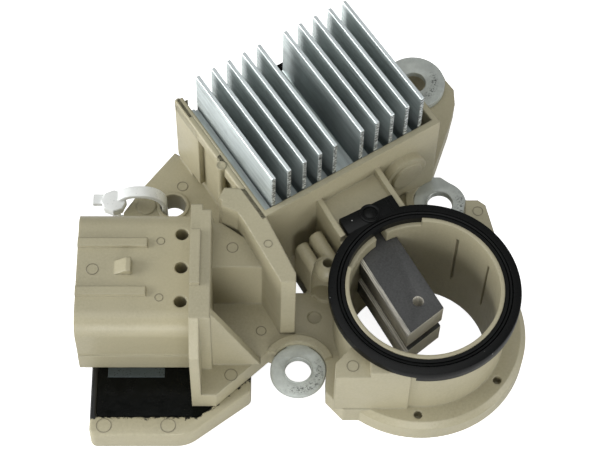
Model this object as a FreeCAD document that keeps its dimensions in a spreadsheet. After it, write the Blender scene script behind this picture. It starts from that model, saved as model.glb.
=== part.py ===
import FreeCAD, Part
import math
import os
import re
import Sketcher

# Alternator voltage regulator with its brush holder, lying on its mounting side.
# The origin is on the axis of the slip ring bore, in the plane of the underside.
# +Z runs along the bore, out of the sealed end. -X is the way the plug leaves.

os.makedirs("parts", exist_ok=True)
doc = FreeCAD.newDocument("voltage_regulator")

# Driving dimensions in millimetres and degrees, by the piece that they shape
SIZES = {
    # Levels above the underside
    "plate_bottom": 6.2,
    "plate_top": 11.6,
    "ring_height": 28.2,
    "wall_top": 34.5,
    # Slip ring tube with its flange, collar and corner blocks
    "bore_radius": 15.3,
    "tube_wall": 2.7,
    "collar_wall": 0.85,
    "collar_height": 1.9,
    "collar_start": 163,
    "collar_end": 90,
    "flange_radius": 22.6,
    "flange_chamfer": 1.2,
    "flange_hole_radius": 0.9,
    "flange_hole_circle": 19.8,
    "flange_hole_angle": 37.1,
    "flange_hole_turn": 55.5,
    "flange_hole_depth": 2.5,
    "flat_left": 11.3,
    "block_top": 26.3,
    "block_left": 18.2,
    "block_front": 18.4,
    "block_right": 8.2,
    "groove_span": 2,
    "groove_depth": 0.7,
    "groove_low": 9,
    "groove_high": 26,
    "groove_angle": 27,
    "groove_step": 33,
    # Base plate around the tube
    "apron_left": 47.4,
    "apron_front": 15.4,
    "apron_width": 5.0,
    "slope_x": 31.6,
    "slope_y": 5.3,
    "notch_x": 19.7,
    "notch_y": 10.0,
    "foot_y": 14.7,
    "foot_x": 16.2,
    "foot_front": 18.6,
    # Slot through the plate beside the diagonal wall, and the round recess in front of it
    "slot_x": 25.9,
    "slot_front": 8.4,
    "slot_width": 2.6,
    "slot_length": 6.2,
    "recess_x": 21.9,
    "recess_y": 2.7,
    "recess_radius": 1.45,
    "recess_depth": 0.7,
    # Lug at the rear left with its bolt hole
    "lug_x": 52.3,
    "lug_y": 29.7,
    "lug_hole_radius": 2.8,
    "lug_rim": 0.7,
    "lug_rim_height": 0.4,
    "lug_mark_x": 58.2,
    "lug_mark_radius": 2.1,
    "lug_mark_height": 0.3,
    "lug_left": 63.0,
    "lug_side": 28.1,
    "lug_shoulder_x": 58.9,
    "lug_shoulder_y": 34.6,
    # Heat sink box, set at an angle behind the tube
    "box_x": 32.1,
    "box_y": 13.8,
    "box_turn": 32.4,
    "box_width": 43.2,
    "box_depth": 34.3,
    "box_wall": 1.3,
    "ledge_width": 1.3,
    "ledge_height": 27.8,
    "box_pad_length": 5.5,
    "box_pad_depth": 0.8,
    "post_place": 16.5,
    "post_radius": 1.1,
    "boss_place": 34.0,
    "boss_height": 23.9,
    "boss_radius": 5.0,
    "boss_depth": 2.0,
    "boss_inner_radius": 3.6,
    # Heat sink
    "sink_base": 3.0,
    "sink_gap": 0.15,
    "sink_side_gap": 2.45,
    "sealant_width": 2.15,
    "fin_thickness": 0.9,
    "fin_margin": 1.0,
    "fin_gap": 6.5,
    "fin_count": 5,
    "fin_top": 44.6,
    # Control electronics under the heat sink
    "chip_width": 8.0,
    "chip_length": 14.0,
    "chip_height": 2.0,
    "chip_place": 5.5,
    "leg_width": 0.6,
    "leg_count": 5,
    "leg_pitch": 2.6,
    "board_top": 20.2,
    "board_thickness": 1.2,
    "board_width": 9.2,
    "board_length": 26.0,
    "board_margin": 0.6,
    "board_post_radius": 1.5,
    # Brush holder and brushes
    "brush_turn": 118.5,
    "brush_offset": 2.2,
    "brush_width": 9.6,
    "brush_height": 5.4,
    "brush_length": 26.2,
    "brush_tip": 5.7,
    "brush_tip_cut": 1.9,
    "brush_travel": 20.2,
    "brush_clearance": 0.1,
    "brush_low": 11.6,
    "brush_pitch": 8.0,
    "pin_hole_radius": 1.15,
    "pin_hole_side": 1.2,
    "pin_slot": 2.6,
    "channel_end": 45.0,
    "holder_end_wall": 1.8,
    "holder_left": 9.2,
    "holder_right": 6.3,
    "holder_top": 27.8,
    "rib_top": 29.6,
    "rib_width": 1.2,
    "spring_radius": 2.2,
    "spring_wire": 0.22,
    "spring_pitch": 3.9,
    "spring_gap": 0.15,
    "lead_radius": 0.75,
    "terminal_thickness": 0.8,
    # Seal on the tube
    "seal_thickness": 1.8,
    "seal_radius": 19.6,
    "seal_fit": 0.05,
    "seal_groove": 0.45,
    "seal_groove_width": 0.5,
    "skirt_drop": 1.4,
    "skirt_start": 263,
    "skirt_end": 342,
    "tab_reach": 22.2,
    "tab_left": 7.5,
    "tab_right": 5.1,
    "tab_boss_radius": 1.85,
    "tab_boss_height": 0.35,
    # Bosses beside the brush holder
    "bump_radius": 1.5,
    "bump_side": 11.4,
    "bump_step": 3.3,
    "bump_start": 17.1,
    "bump_length": 7.5,
    "bump_top": 24.0,
    "bump_drop": 2.0,
    "ball_radius": 2.8,
    "ball_side": 12.8,
    "ball_top": 24.4,
    "ball_hole_radius": 1.0,
    # Plug housing
    "plug_mouth": 71.2,
    "plug_front": 6.2,
    "plug_width": 28.2,
    "plug_top": 23.6,
    "plug_corner": 4.2,
    "plug_wall": 1.7,
    "plug_depth": 18.0,
    "plug_rib_width": 2.0,
    "plug_rib_height": 0.8,
    "plug_rib_length": 14.5,
    "plug_rib_side": 5.7,
    "latch_start": 63.9,
    "latch_length": 4.0,
    "latch_width": 3.3,
    "latch_height": 1.6,
    "core_hole_x": 49.6,
    "core_hole_radius": 1.35,
    "pin_pitch": 7.9,
    "pin_level": 15.0,
    "pin_width": 1.8,
    "pin_thickness": 0.8,
    "pin_reach": 12.5,
    # Cross wall, gusset, diagonal wall and the closed pocket between them
    "cross_wall": 4.2,
    "cross_back": 15.4,
    "cross_tab_back": 16.7,
    "cross_tab_width": 2.4,
    "cross_front": 9.4,
    "cross_tail": 2.0,
    "cross_tail_drop": 6.4,
    "cross_rail_length": 12.4,
    "cross_rail_height": 1.0,
    "cross_rail_width": 2.1,
    "gusset_end": 33.2,
    "gusset_y": 8.4,
    "gusset_wall": 1.4,
    "diagonal_wall": 3.0,
    "diagonal_end_x": 29.1,
    "diagonal_end_y": 1.3,
    "diagonal_top_x": 36.6,
    "diagonal_top_y": 12.8,
    "pocket_top": 27.6,
    "pocket_front": 5.9,
    "pocket_back": 17.6,
    "pocket_hole_x": 42.0,
    "pocket_hole_radius": 1.0,
    "pocket_hole_depth": 6.0,
    # Bolt eyelets of the conductor frame
    "eyelet_radius": 5.8,
    "eyelet_hole": 2.75,
    "eyelet_thickness": 1.6,
    "eyelet_sink": 0.6,
    "eyelet_gap": 0.1,
    "eyelet_collar": 1.8,
    "eyelet_collar_height": 0.9,
    "tongue_width": 5.0,
    "tongue_length": 9.0,
    "front_eyelet_x": 25.4,
    "front_eyelet_y": 9.4,
    "right_eyelet_x": 5.9,
    "right_eyelet_y": 31.0,
    # Bolt washer on the rear lug
    "disc_out": 10.47,
    "disc_along": 22.43,
    "disc_radius": 7.0,
    "disc_hole": 2.65,
    "disc_thickness": 1.6,
    "disc_lug_margin": 0.5,
    # Module case under the plug with its potting
    "case_left": 68.6,
    "case_front": 21.9,
    "case_right": 35.2,
    "case_side": 12.0,
    "case_back": 10.0,
    "case_corner_x": 48.4,
    "case_wall": 1.4,
    "case_rim": 4.2,
    "case_floor": 1.4,
    "case_corner": 1.4,
    "case_bend": 7.0,
    "case_inner_corner": 1.0,
    "potting_drop": 0.2,
    "module_plate_left": 65.2,
    "module_plate_width": 11.9,
    "module_plate_front": 8.7,
    "module_plate_length": 9.0,
    "module_plate_thickness": 1.0,
    # Cable tie through the rear left lug
    "tie_left": 63.8,
    "tie_right": 54.3,
    "tie_low": 5.2,
    "tie_high": 15.3,
    "tie_bend": 4.7,
    "tie_low_bend": 1.0,
    "tie_thickness": 1.1,
    "tie_width": 2.6,
    "tie_head_left": 67.4,
    "tie_head_width": 4.8,
    "tie_head_length": 4.6,
    "tie_head_corner": 1.3,
    "tie_head_low": 11.9,
    "tie_head_height": 2.8,
    "tie_tail": 2.0,
    "tie_tail_width": 2.2,
}

sheet = doc.addObject("Spreadsheet::Sheet", "Sizes")
for row, (alias, number) in enumerate(SIZES.items(), start=1):
    sheet.set("A%d" % row, alias)
    sheet.set("B%d" % row, str(number))
    sheet.setAlias("B%d" % row, alias)
doc.recompute()

# Frames that sketches are drawn in: place of the origin and turn about Z
FRAMES = {
    "base": ("0", "0", "0"),
    "box": ("-box_x", "box_y", "box_turn"),
    "brush": ("0", "0", "brush_turn"),
}


def cells(formula):
    """Return a formula with each size name written as its spreadsheet cell."""
    return re.sub(r"[a-z_]\w*", lambda word: named(word.group(0)), str(formula))


def named(word):
    """Return the spreadsheet cell of a size, or the word itself."""
    return "Sizes." + word if word in SIZES else word


def value(formula):
    """Return the number that a formula of sizes gives now."""
    return float(sheet.evalExpression(cells(formula)))


def bind(item, path, formula):
    """Tie one property of an object to a formula of sizes."""
    item.setExpression(path, cells(formula))


def new_body(label):
    """Start a body with its own name."""
    body = doc.addObject("PartDesign::Body", label)
    body.Label = label
    return body


def sketch_on(body, name, level="0", frame="base", plane="XY_Plane"):
    """Start a sketch on one of the body's own planes, raised to a level along its normal."""
    drawing = body.newObject("Sketcher::SketchObject", name)
    support = [face for face in body.Origin.OriginFeatures if face.Role == plane][0]
    drawing.AttachmentSupport = (support, "")
    drawing.MapMode = "FlatFace"
    across, along, turn = FRAMES[frame]
    about_z = FreeCAD.Rotation(FreeCAD.Vector(0, 0, 1), value(turn))
    corner = FreeCAD.Vector(value(across), value(along), value(level))
    drawing.AttachmentOffset = FreeCAD.Placement(corner, about_z)
    bind(drawing, "AttachmentOffset.Base.x", across)
    bind(drawing, "AttachmentOffset.Base.y", along)
    bind(drawing, "AttachmentOffset.Base.z", level)
    bind(drawing, "AttachmentOffset.Rotation.Angle", turn)
    return drawing


def hold(drawing, *rules):
    """Add constraints whose last entry is a formula, and tie each of them to the sheet."""
    limits = []
    for kind, *items, formula in rules:
        number = value(formula)
        if kind == "Angle":
            number = math.radians(number)
        limits.append(Sketcher.Constraint(kind, *items, number))
    places = drawing.addConstraint(limits)
    for place, (kind, *items, formula) in zip(places, rules):
        if kind == "Angle":
            formula = "(%s) * 1 deg" % formula
        bind(drawing, "Constraints[%d]" % place, formula)


def flat(formula_x, formula_y):
    """Return the point that two formulas give, in a sketch's plane."""
    return FreeCAD.Vector(value(formula_x), value(formula_y), 0)


def polygon(drawing, corners):
    """Draw a closed outline through corners, each held by its two formulas."""
    first = drawing.GeometryCount
    total = len(corners)
    points = [flat(*corner) for corner in corners]
    drawing.addGeometry([Part.LineSegment(points[index], points[(index + 1) % total])
                         for index in range(total)], False)
    drawing.addConstraint([
        Sketcher.Constraint("Coincident", first + index, 2, first + (index + 1) % total, 1)
        for index in range(total)])
    rules = []
    for index, (across, along) in enumerate(corners):
        rules.append(("DistanceX", -1, 1, first + index, 1, across))
        rules.append(("DistanceY", -1, 1, first + index, 1, along))
    hold(drawing, *rules)


def rectangle(drawing, left, low, right, high):
    """Draw an upright rectangle between two corners."""
    polygon(drawing, [(left, low), (right, low), (right, high), (left, high)])


def circle(drawing, across, along, radius):
    """Draw a circle held by its centre and radius."""
    centre = flat(across, along)
    index = drawing.addGeometry(Part.Circle(centre, FreeCAD.Vector(0, 0, 1), value(radius)), False)
    hold(drawing, ("DistanceX", -1, 1, index, 3, across), ("DistanceY", -1, 1, index, 3, along),
         ("Radius", index, radius))


def sector(drawing, across, along, inner, outer, start, end):
    """Draw a ring sector between two angles, counted anticlockwise from X."""
    centre = flat(across, along)
    up = FreeCAD.Vector(0, 0, 1)
    low = math.radians(value(start))
    high = math.radians(value(end))
    near, far = value(inner), value(outer)

    def at(radius, angle):
        return centre + FreeCAD.Vector(radius * math.cos(angle), radius * math.sin(angle), 0)

    inside = drawing.addGeometry(Part.ArcOfCircle(Part.Circle(centre, up, near), low, high), False)
    outside = drawing.addGeometry(Part.ArcOfCircle(Part.Circle(centre, up, far), low, high), False)
    first = drawing.addGeometry(Part.LineSegment(at(near, low), at(far, low)), False)
    last = drawing.addGeometry(Part.LineSegment(at(near, high), at(far, high)), False)
    for one, end_one, other, end_other in ((first, 1, inside, 1), (first, 2, outside, 1),
                                           (last, 1, inside, 2), (last, 2, outside, 2)):
        drawing.addConstraint(Sketcher.Constraint("Coincident", one, end_one, other, end_other))
    drawing.addConstraint(Sketcher.Constraint("Coincident", inside, 3, outside, 3))
    hold(drawing, ("DistanceX", -1, 1, inside, 3, across), ("DistanceY", -1, 1, inside, 3, along),
         ("Radius", inside, inner), ("Radius", outside, outer),
         ("Angle", first, start), ("Angle", last, end))
    drawing.addConstraint(Sketcher.Constraint("PointOnObject", inside, 3, first))
    drawing.addConstraint(Sketcher.Constraint("PointOnObject", inside, 3, last))


def rounded_rectangle(drawing, left, low, right, high, radius, low_radius):
    """Draw a rectangle with two round corners at its top and two at its foot."""
    west, south = value(left), value(low)
    east, north = value(right), value(high)
    bend, foot = value(radius), value(low_radius)
    up = FreeCAD.Vector(0, 0, 1)
    sides = [((west + foot, south), (east - foot, south)), ((east, south + foot), (east, north - bend)),
             ((east - bend, north), (west + bend, north)), ((west, north - bend), (west, south + foot))]
    rounds = [(east - foot, south + foot, foot), (east - bend, north - bend, bend),
              (west + bend, north - bend, bend), (west + foot, south + foot, foot)]
    first = drawing.GeometryCount
    outline = [Part.LineSegment(FreeCAD.Vector(*start, 0), FreeCAD.Vector(*end, 0)) for start, end in sides]
    for index, (across, along, size) in enumerate(rounds):
        turn = math.radians(90 * (index - 1))
        corner = Part.Circle(FreeCAD.Vector(across, along, 0), up, size)
        outline.append(Part.ArcOfCircle(corner, turn, turn + math.pi / 2))
    drawing.addGeometry(outline, False)
    rules = [Sketcher.Constraint("Equal", first + 4, first + 7),
             Sketcher.Constraint("Equal", first + 5, first + 6)]
    for index in range(4):
        side = first + index
        corner = first + 4 + index
        after = first + (index + 1) % 4
        rules.append(Sketcher.Constraint("Tangent", side, 2, corner, 1))
        rules.append(Sketcher.Constraint("Tangent", corner, 2, after, 1))
        rules.append(Sketcher.Constraint("Horizontal" if index % 2 == 0 else "Vertical", side))
    drawing.addConstraint(rules)
    hold(drawing, ("Radius", first + 4, low_radius), ("Radius", first + 5, radius),
         ("DistanceY", -1, 1, first, 1, low), ("DistanceX", -1, 1, first + 1, 1, right),
         ("DistanceY", -1, 1, first + 2, 1, high), ("DistanceX", -1, 1, first + 3, 1, left))


def pad(body, drawing, height):
    """Raise a sketch by a height along its normal."""
    feature = body.newObject("PartDesign::Pad", drawing.Name + "_pad")
    feature.Profile = drawing
    bind(feature, "Length", height)
    drawing.Visibility = False
    return feature


def cut(body, drawing, depth):
    """Cut a sketch into the body by a depth, against its normal."""
    feature = body.newObject("PartDesign::Pocket", drawing.Name + "_cut")
    feature.Profile = drawing
    bind(feature, "Length", depth)
    drawing.Visibility = False
    return feature


def block(body, name, low, high, frame, *corners):
    """Raise a polygon of the plan view from one level to another."""
    drawing = sketch_on(body, name, low, frame)
    polygon(drawing, list(corners))
    return pad(body, drawing, "(%s) - (%s)" % (high, low))


def bar(body, name, low, high, frame, left, front, right, back):
    """Raise an upright rectangle of the plan view from one level to another."""
    drawing = sketch_on(body, name, low, frame)
    rectangle(drawing, left, front, right, back)
    return pad(body, drawing, "(%s) - (%s)" % (high, low))


def disc(body, name, low, high, across, along, radius, frame="base"):
    """Raise a round disc from one level to another."""
    drawing = sketch_on(body, name, low, frame)
    circle(drawing, across, along, radius)
    return pad(body, drawing, "(%s) - (%s)" % (high, low))


def hollow(body, name, low, high, frame, left, front, right, back):
    """Cut an upright rectangle of the plan view between two levels."""
    drawing = sketch_on(body, name, high, frame)
    rectangle(drawing, left, front, right, back)
    return cut(body, drawing, "(%s) - (%s)" % (high, low))


def drill(body, name, low, high, across, along, radius, frame="base"):
    """Cut a round hole between two levels."""
    drawing = sketch_on(body, name, high, frame)
    circle(drawing, across, along, radius)
    return cut(body, drawing, "(%s) - (%s)" % (high, low))


def round_corners(body, feature, name, radius, places):
    """Round the upright edges that stand at given places of the plan view."""
    doc.recompute()
    wanted = [flat(*place) for place in places]
    edges = []
    for number, edge in enumerate(feature.Shape.Edges, start=1):
        start, end = edge.Vertexes[0].Point, edge.Vertexes[-1].Point
        upright = math.hypot(start.x - end.x, start.y - end.y) < 1e-6 and start != end
        if upright and any(math.hypot(start.x - spot.x, start.y - spot.y) < 1e-3 for spot in wanted):
            edges.append("Edge%d" % number)
    fillet = body.newObject("PartDesign::Fillet", name)
    fillet.Base = (feature, edges)
    bind(fillet, "Radius", radius)
    return fillet


# Formulas that several pieces share
RING_RADIUS = "(bore_radius + tube_wall)"
COLLAR_RADIUS = "(bore_radius + collar_wall)"
PLUG_BACK = "(plug_width - plug_front)"
PLUG_MIDDLE = "(plug_width / 2 - plug_front)"
SINK_TOP = "(ledge_height + sink_base)"
BRUSH_BACK = "(brush_length - brush_tip)"
EYELET_TOP = "(plate_top - eyelet_sink)"
FIN_FIRST = "(box_wall + fin_margin)"
FIN_LENGTH = "(box_depth - 2 * box_wall - sink_gap - sealant_width)"
SINK_RIGHT = "(box_width - box_wall - sink_side_gap)"
FIN_SPAN = "(%s - sink_gap - fin_thickness - fin_gap - %s)" % (SINK_RIGHT, FIN_FIRST)
FIN_PITCH = "(%s / (2 * (fin_count - 1)))" % FIN_SPAN
DISC_MIDDLE = "(box_width + disc_out)"
TERMINAL_FACE = "(channel_end - terminal_thickness)"


def brush_level(upper):
    """Return the formula of a brush's underside."""
    return "(brush_low + brush_pitch)" if upper else "brush_low"


# The housing is one moulding
def add_base_plate(body):
    """Raise the plate that joins the tube, the box, the plug and the lugs."""
    block(body, "plate", "plate_bottom", "plate_top", "base",
          ("-apron_left", "-apron_front"),
          ("-apron_left + apron_width", "-apron_front"),
          ("-slope_x", "-slope_y"),
          ("-notch_x", "-notch_y"),
          ("-notch_x", "-foot_y"),
          ("-foot_x", "-foot_front"),
          ("-flat_left / 2", "-foot_front"),
          ("bore_radius * 0.6", "-tube_wall"),
          ("right_eyelet_x + eyelet_radius * 0.8", "right_eyelet_y - eyelet_radius"),
          ("right_eyelet_x - eyelet_radius", "right_eyelet_y + eyelet_radius"),
          ("-box_x + box_wall", "box_y + box_depth / 2"),
          ("-apron_left", "pocket_back"))
    disc(body, "flange", "plate_bottom", "plate_top - flange_chamfer", "0", "0", "flange_radius")
    disc(body, "flange_rim", "plate_top - flange_chamfer", "plate_top", "0", "0",
         "flange_radius").TaperAngle = -45
    block(body, "rear_left_lug", "plate_bottom", "plate_top", "base",
          ("-lug_left", "pocket_back"),
          ("-apron_left", "pocket_back / 2"),
          ("-box_x", "box_y + box_wall"),
          ("-box_x - box_wall", "box_y + box_depth / 2"),
          ("-lug_x", "lug_y + box_depth * 0.4"),
          ("-lug_shoulder_x", "lug_shoulder_y"),
          ("-lug_left", "lug_side"))
    disc(body, "lug_rim", "plate_top - lug_rim_height", "plate_top + lug_rim_height", "-lug_x", "lug_y",
         "lug_hole_radius + lug_rim")
    disc(body, "lug_mark", "plate_top - lug_mark_height", "plate_top + lug_mark_height",
         "-lug_mark_x", "lug_y", "lug_mark_radius")
    block(body, "rear_lug", "plate_bottom", "plate_top", "box",
          ("box_width - box_wall * 3", "box_wall"),
          ("box_width + box_wall * 1.5", "box_wall * 1.5"),
          (DISC_MIDDLE + " + disc_radius * 0.12", "disc_along - disc_radius * 1.85"),
          (DISC_MIDDLE + " + disc_radius * 0.73", "disc_along - disc_radius * 1.29"),
          (DISC_MIDDLE + " + disc_radius * 1.02", "disc_along - disc_radius * 0.82"),
          (DISC_MIDDLE + " + disc_radius", "disc_along + disc_radius * 0.19"),
          (DISC_MIDDLE + " - disc_radius * 0.85", "disc_along + disc_radius * 0.54"),
          ("box_width - box_wall * 5", "disc_along + disc_radius * 0.32"),
          ("box_width - box_wall * 7", "box_wall * 4"))
    disc(body, "rear_lug_end", "plate_bottom", "plate_top", DISC_MIDDLE, "disc_along",
         "disc_radius + disc_lug_margin", "box")


def add_tube(body):
    """Raise the tube around the slip rings, its collar, flat side and corner blocks."""
    disc(body, "tube", "0", "ring_height", "0", "0", RING_RADIUS)
    drawing = sketch_on(body, "tube_flat", "plate_top")
    rectangle(drawing, "-flat_left", "-block_front", "-bore_radius * 0.2", "-bore_radius * 0.6")
    pad(body, drawing, "ring_height - plate_top")
    block(body, "corner_block", "plate_top", "block_top", "base",
          ("-block_left", "-block_front"),
          ("-block_right", "-block_front"),
          ("-block_right", "-bore_radius * 0.9"),
          ("-bore_radius * 0.8", "-bore_radius * 0.65"),
          ("-block_left + tube_wall", "-bore_radius * 0.8"),
          ("-block_left", "-bore_radius"))
    block(body, "corner_tab", "plate_top", "block_top", "base",
          ("bore_radius * 0.6", "bore_radius"),
          ("bore_radius * 0.63", "bore_radius * 1.48"),
          ("bore_radius * 0.8", "bore_radius * 1.48"),
          ("bore_radius * 0.9", "bore_radius * 1.4"),
          ("bore_radius", "bore_radius * 0.95"),
          ("bore_radius * 0.8", "bore_radius * 0.8"))
    drawing = sketch_on(body, "collar", "ring_height")
    sector(drawing, "0", "0", "bore_radius - 0.1", COLLAR_RADIUS, "collar_start", "collar_end + 360")
    pad(body, drawing, "collar_height")


def add_box(body):
    """Raise the box that holds the heat sink, with its ledge, pad, post and round boss."""
    bar(body, "box", "plate_bottom", "wall_top", "box", "0", "0", "box_width", "box_depth")
    hollow(body, "box_mouth", "ledge_height", "wall_top", "box",
           "box_wall", "box_wall", "box_width - box_wall", "box_depth - box_wall")
    hollow(body, "box_inside", "plate_top", "ledge_height", "box",
           "box_wall + ledge_width", "box_wall + ledge_width",
           "box_width - box_wall - ledge_width", "box_depth - box_wall - ledge_width")
    bar(body, "box_pad", "plate_top", "wall_top", "box",
        "-box_pad_depth", "box_depth - box_pad_length", "box_wall / 2", "box_depth")
    disc(body, "box_post", "plate_top", "wall_top", "-post_radius * 0.3", "post_place",
         "post_radius", "box")
    for index, place in enumerate(("board_margin + board_post_radius * 2",
                                   "board_length - board_post_radius * 2")):
        disc(body, "board_post_%d" % (index + 1), "plate_top", "board_top - board_thickness",
             "box_wall + ledge_width + board_width / 2 + board_margin",
             "box_wall + ledge_width + " + place, "board_post_radius", "box")


def add_box_boss(body):
    """Add the stepped round boss on the outside of the box's front wall."""
    for name, radius, depth in (("boss", "boss_radius", "boss_depth"),
                                ("boss_inner", "boss_inner_radius", "boss_depth + 0.6")):
        drawing = body.newObject("Sketcher::SketchObject", name)
        support = [face for face in body.Origin.OriginFeatures if face.Role == "XZ_Plane"][0]
        drawing.AttachmentSupport = (support, "")
        drawing.MapMode = "FlatFace"
        # The wall's plane is the upright plane turned about Z into the box's frame
        turn = FreeCAD.Rotation(FreeCAD.Vector(0, 1, 0), value("box_turn"))
        drawing.AttachmentOffset = FreeCAD.Placement(FreeCAD.Vector(), turn)
        bind(drawing, "AttachmentOffset.Rotation.Angle", "box_turn")
        bind(drawing, "AttachmentOffset.Base.x", "-box_x")
        bind(drawing, "AttachmentOffset.Base.z", "-box_y")
        circle(drawing, "boss_place", "boss_height", radius)
        pad(body, drawing, depth)


def add_brush_holder(body):
    """Raise the block with the two brush channels, its ribs and the bosses beside it."""
    bar(body, "holder", "plate_bottom", "holder_top", "brush", "bore_radius - 1",
        "-holder_right", "channel_end + holder_end_wall", "holder_left")
    reach = "(box_x * 0.88 + box_wall)"
    bar(body, "holder_rib_left", "holder_top", "rib_top", "brush", "bore_radius + tube_wall + 0.4",
        "holder_left - rib_width", reach, "holder_left")
    bar(body, "holder_rib_right", "holder_top", "rib_top", "brush", "bore_radius + tube_wall + 0.4",
        "-holder_right", reach, "-holder_right + rib_width")
    bump_end = "(bump_start + bump_length)"
    for index in range(2):
        side = "(bump_side + %d * bump_step)" % index
        top = "(bump_top - %d * bump_drop)" % index
        bar(body, "bump_base_%d" % (index + 1), "plate_top", top + " - bump_radius", "brush",
            "bump_start", side + " - bump_radius", bump_end, side + " + bump_radius")
        drawing = sketch_on(body, "bump_round_%d" % (index + 1), "bump_start", "base", "YZ_Plane")
        drawing.AttachmentOffset = FreeCAD.Placement(
            FreeCAD.Vector(), FreeCAD.Rotation(FreeCAD.Vector(0, 1, 0), value("brush_turn")))
        bind(drawing, "AttachmentOffset.Rotation.Angle", "brush_turn")
        bind(drawing, "AttachmentOffset.Base.x", "bump_start * sin(brush_turn)")
        bind(drawing, "AttachmentOffset.Base.y", "0")
        bind(drawing, "AttachmentOffset.Base.z", "bump_start * cos(brush_turn)")
        circle(drawing, side, top + " - bump_radius", "bump_radius")
        pad(body, drawing, "bump_length")
    disc(body, "ball_neck", "plate_top", "ball_top - ball_radius", "bump_start", "ball_side",
         "ball_radius", "brush")
    ball = body.newObject("PartDesign::AdditiveSphere", "ball")
    bind(ball, "Radius", "ball_radius")
    bind(ball, "Placement.Base.x", "bump_start * cos(brush_turn) - ball_side * sin(brush_turn)")
    bind(ball, "Placement.Base.y", "bump_start * sin(brush_turn) + ball_side * cos(brush_turn)")
    bind(ball, "Placement.Base.z", "ball_top - ball_radius")


def add_plug(body):
    """Raise the plug housing, with its ribs and latch ramp."""
    drawing = sketch_on(body, "plug", "-plug_mouth", "base", "YZ_Plane")
    rounded_rectangle(drawing, "-plug_front", "plate_bottom", PLUG_BACK, "plug_top",
                      "plug_corner", "plug_corner")
    pad(body, drawing, "plug_mouth - apron_left + cross_wall / 2")
    bar(body, "plug_lip", "plate_bottom", "plate_top", "base",
        "-plug_mouth", "-plug_front - 0.3", "-apron_left + cross_wall / 2", PLUG_BACK)
    for index, sign in enumerate(("+", "-")):
        middle = "(%s %s plug_rib_side)" % (PLUG_MIDDLE, sign)
        bar(body, "plug_rib_%d" % (index + 1), "plug_top - 0.5", "plug_top + plug_rib_height", "base",
            "-plug_mouth", middle + " - plug_rib_width / 2",
            "-plug_mouth + plug_rib_length", middle + " + plug_rib_width / 2")
    drawing = sketch_on(body, "latch", "-(%s)" % PLUG_MIDDLE + " - latch_width / 2", "base", "XZ_Plane")
    polygon(drawing, [("-latch_start", "plug_top - 0.3"),
                      ("-latch_start + latch_length", "plug_top - 0.3"),
                      ("-latch_start + latch_length", "plug_top + latch_height"),
                      ("-latch_start + latch_length * 0.75", "plug_top + latch_height")])
    pad(body, drawing, "latch_width")


def add_walls(body):
    """Raise the cross wall, its tail, the gusset, the diagonal wall and the closed pocket."""
    bar(body, "cross", "plate_bottom", "wall_top", "base",
        "-apron_left", "-cross_front", "-apron_left + cross_wall", "cross_back")
    bar(body, "cross_tab", "plate_bottom", "wall_top", "base",
        "-apron_left", "cross_back - cross_wall", "-apron_left + cross_tab_width", "cross_tab_back")
    drawing = sketch_on(body, "cross_tail", "-apron_left", "base", "YZ_Plane")
    polygon(drawing, [("-apron_front", "plate_bottom"), ("-cross_front", "plate_bottom"),
                      ("-cross_front", "wall_top"), ("-apron_front", "wall_top - cross_tail_drop")])
    pad(body, drawing, "cross_tail")
    bar(body, "cross_rail", "wall_top", "wall_top + cross_rail_height", "base",
        "-apron_left", "-cross_front + cross_rail_width * 3.5", "-apron_left + cross_rail_width",
        "-cross_front + cross_rail_width * 3.5 + cross_rail_length")
    drawing = sketch_on(body, "gusset", "gusset_y - gusset_wall", "base", "XZ_Plane")
    polygon(drawing, [("-apron_left + cross_wall / 2", "plate_top"), ("-gusset_end", "plate_top"),
                      ("-apron_left + cross_wall", "wall_top"),
                      ("-apron_left + cross_wall / 2", "wall_top")])
    pad(body, drawing, "gusset_wall")
    block(body, "diagonal", "plate_top", "wall_top", "base",
          ("-diagonal_end_x", "-diagonal_end_y"),
          ("-diagonal_end_x + diagonal_wall", "-diagonal_end_y"),
          ("-diagonal_end_x + diagonal_wall", "diagonal_end_y / 2"),
          ("-box_x", "box_y"),
          ("-box_x - box_wall * 3", "box_y + box_wall * 5"),
          ("-apron_left + cross_wall * 1.6", "pocket_back + diagonal_wall"),
          ("-apron_left + cross_wall * 1.2", "pocket_back - box_wall / 2"),
          ("-diagonal_top_x - box_wall", "diagonal_top_y + box_wall * 1.5"),
          ("-diagonal_top_x", "diagonal_top_y"))
    block(body, "pocket_floor", "plate_top", "pocket_top", "base",
          ("-apron_left + cross_wall / 2", "pocket_front"),
          ("-diagonal_end_x - diagonal_wall", "pocket_front"),
          ("-diagonal_top_x", "diagonal_top_y"),
          ("-apron_left + cross_wall", "pocket_back"),
          ("-apron_left + cross_wall / 2", "pocket_back"))


def add_collars(body):
    """Raise the rim of plastic around each bolt eyelet."""
    for name, across, along, start in (("front", "-front_eyelet_x", "-front_eyelet_y", 20),
                                       ("right", "right_eyelet_x", "right_eyelet_y", 165)):
        drawing = sketch_on(body, "collar_" + name, "plate_top")
        sector(drawing, across, along, "eyelet_radius + eyelet_gap - 0.3",
               "eyelet_radius + eyelet_collar", str(start), str(start + 125))
        pad(body, drawing, "eyelet_collar_height")


def cut_bore(body):
    """Bore the tube through and cut its grooves, and drill the flange."""
    drill(body, "bore", "0", "ring_height + collar_height", "0", "0", "bore_radius")
    for index in range(2):
        angle = "(groove_angle + %d * groove_step)" % index
        drawing = sketch_on(body, "bore_groove_%d" % (index + 1), "groove_high")
        sector(drawing, "0", "0", "bore_radius - groove_depth", "bore_radius + groove_depth",
               angle + " - groove_span / 2", angle + " + groove_span / 2")
        cut(body, drawing, "groove_high - groove_low")
    for index in range(2):
        angle = "(-flange_hole_angle - %d * flange_hole_turn)" % index
        drill(body, "flange_hole_%d" % (index + 1), "plate_top - flange_hole_depth", "plate_top",
              "flange_hole_circle * cos(%s)" % angle, "flange_hole_circle * sin(%s)" % angle,
              "flange_hole_radius")


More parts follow.
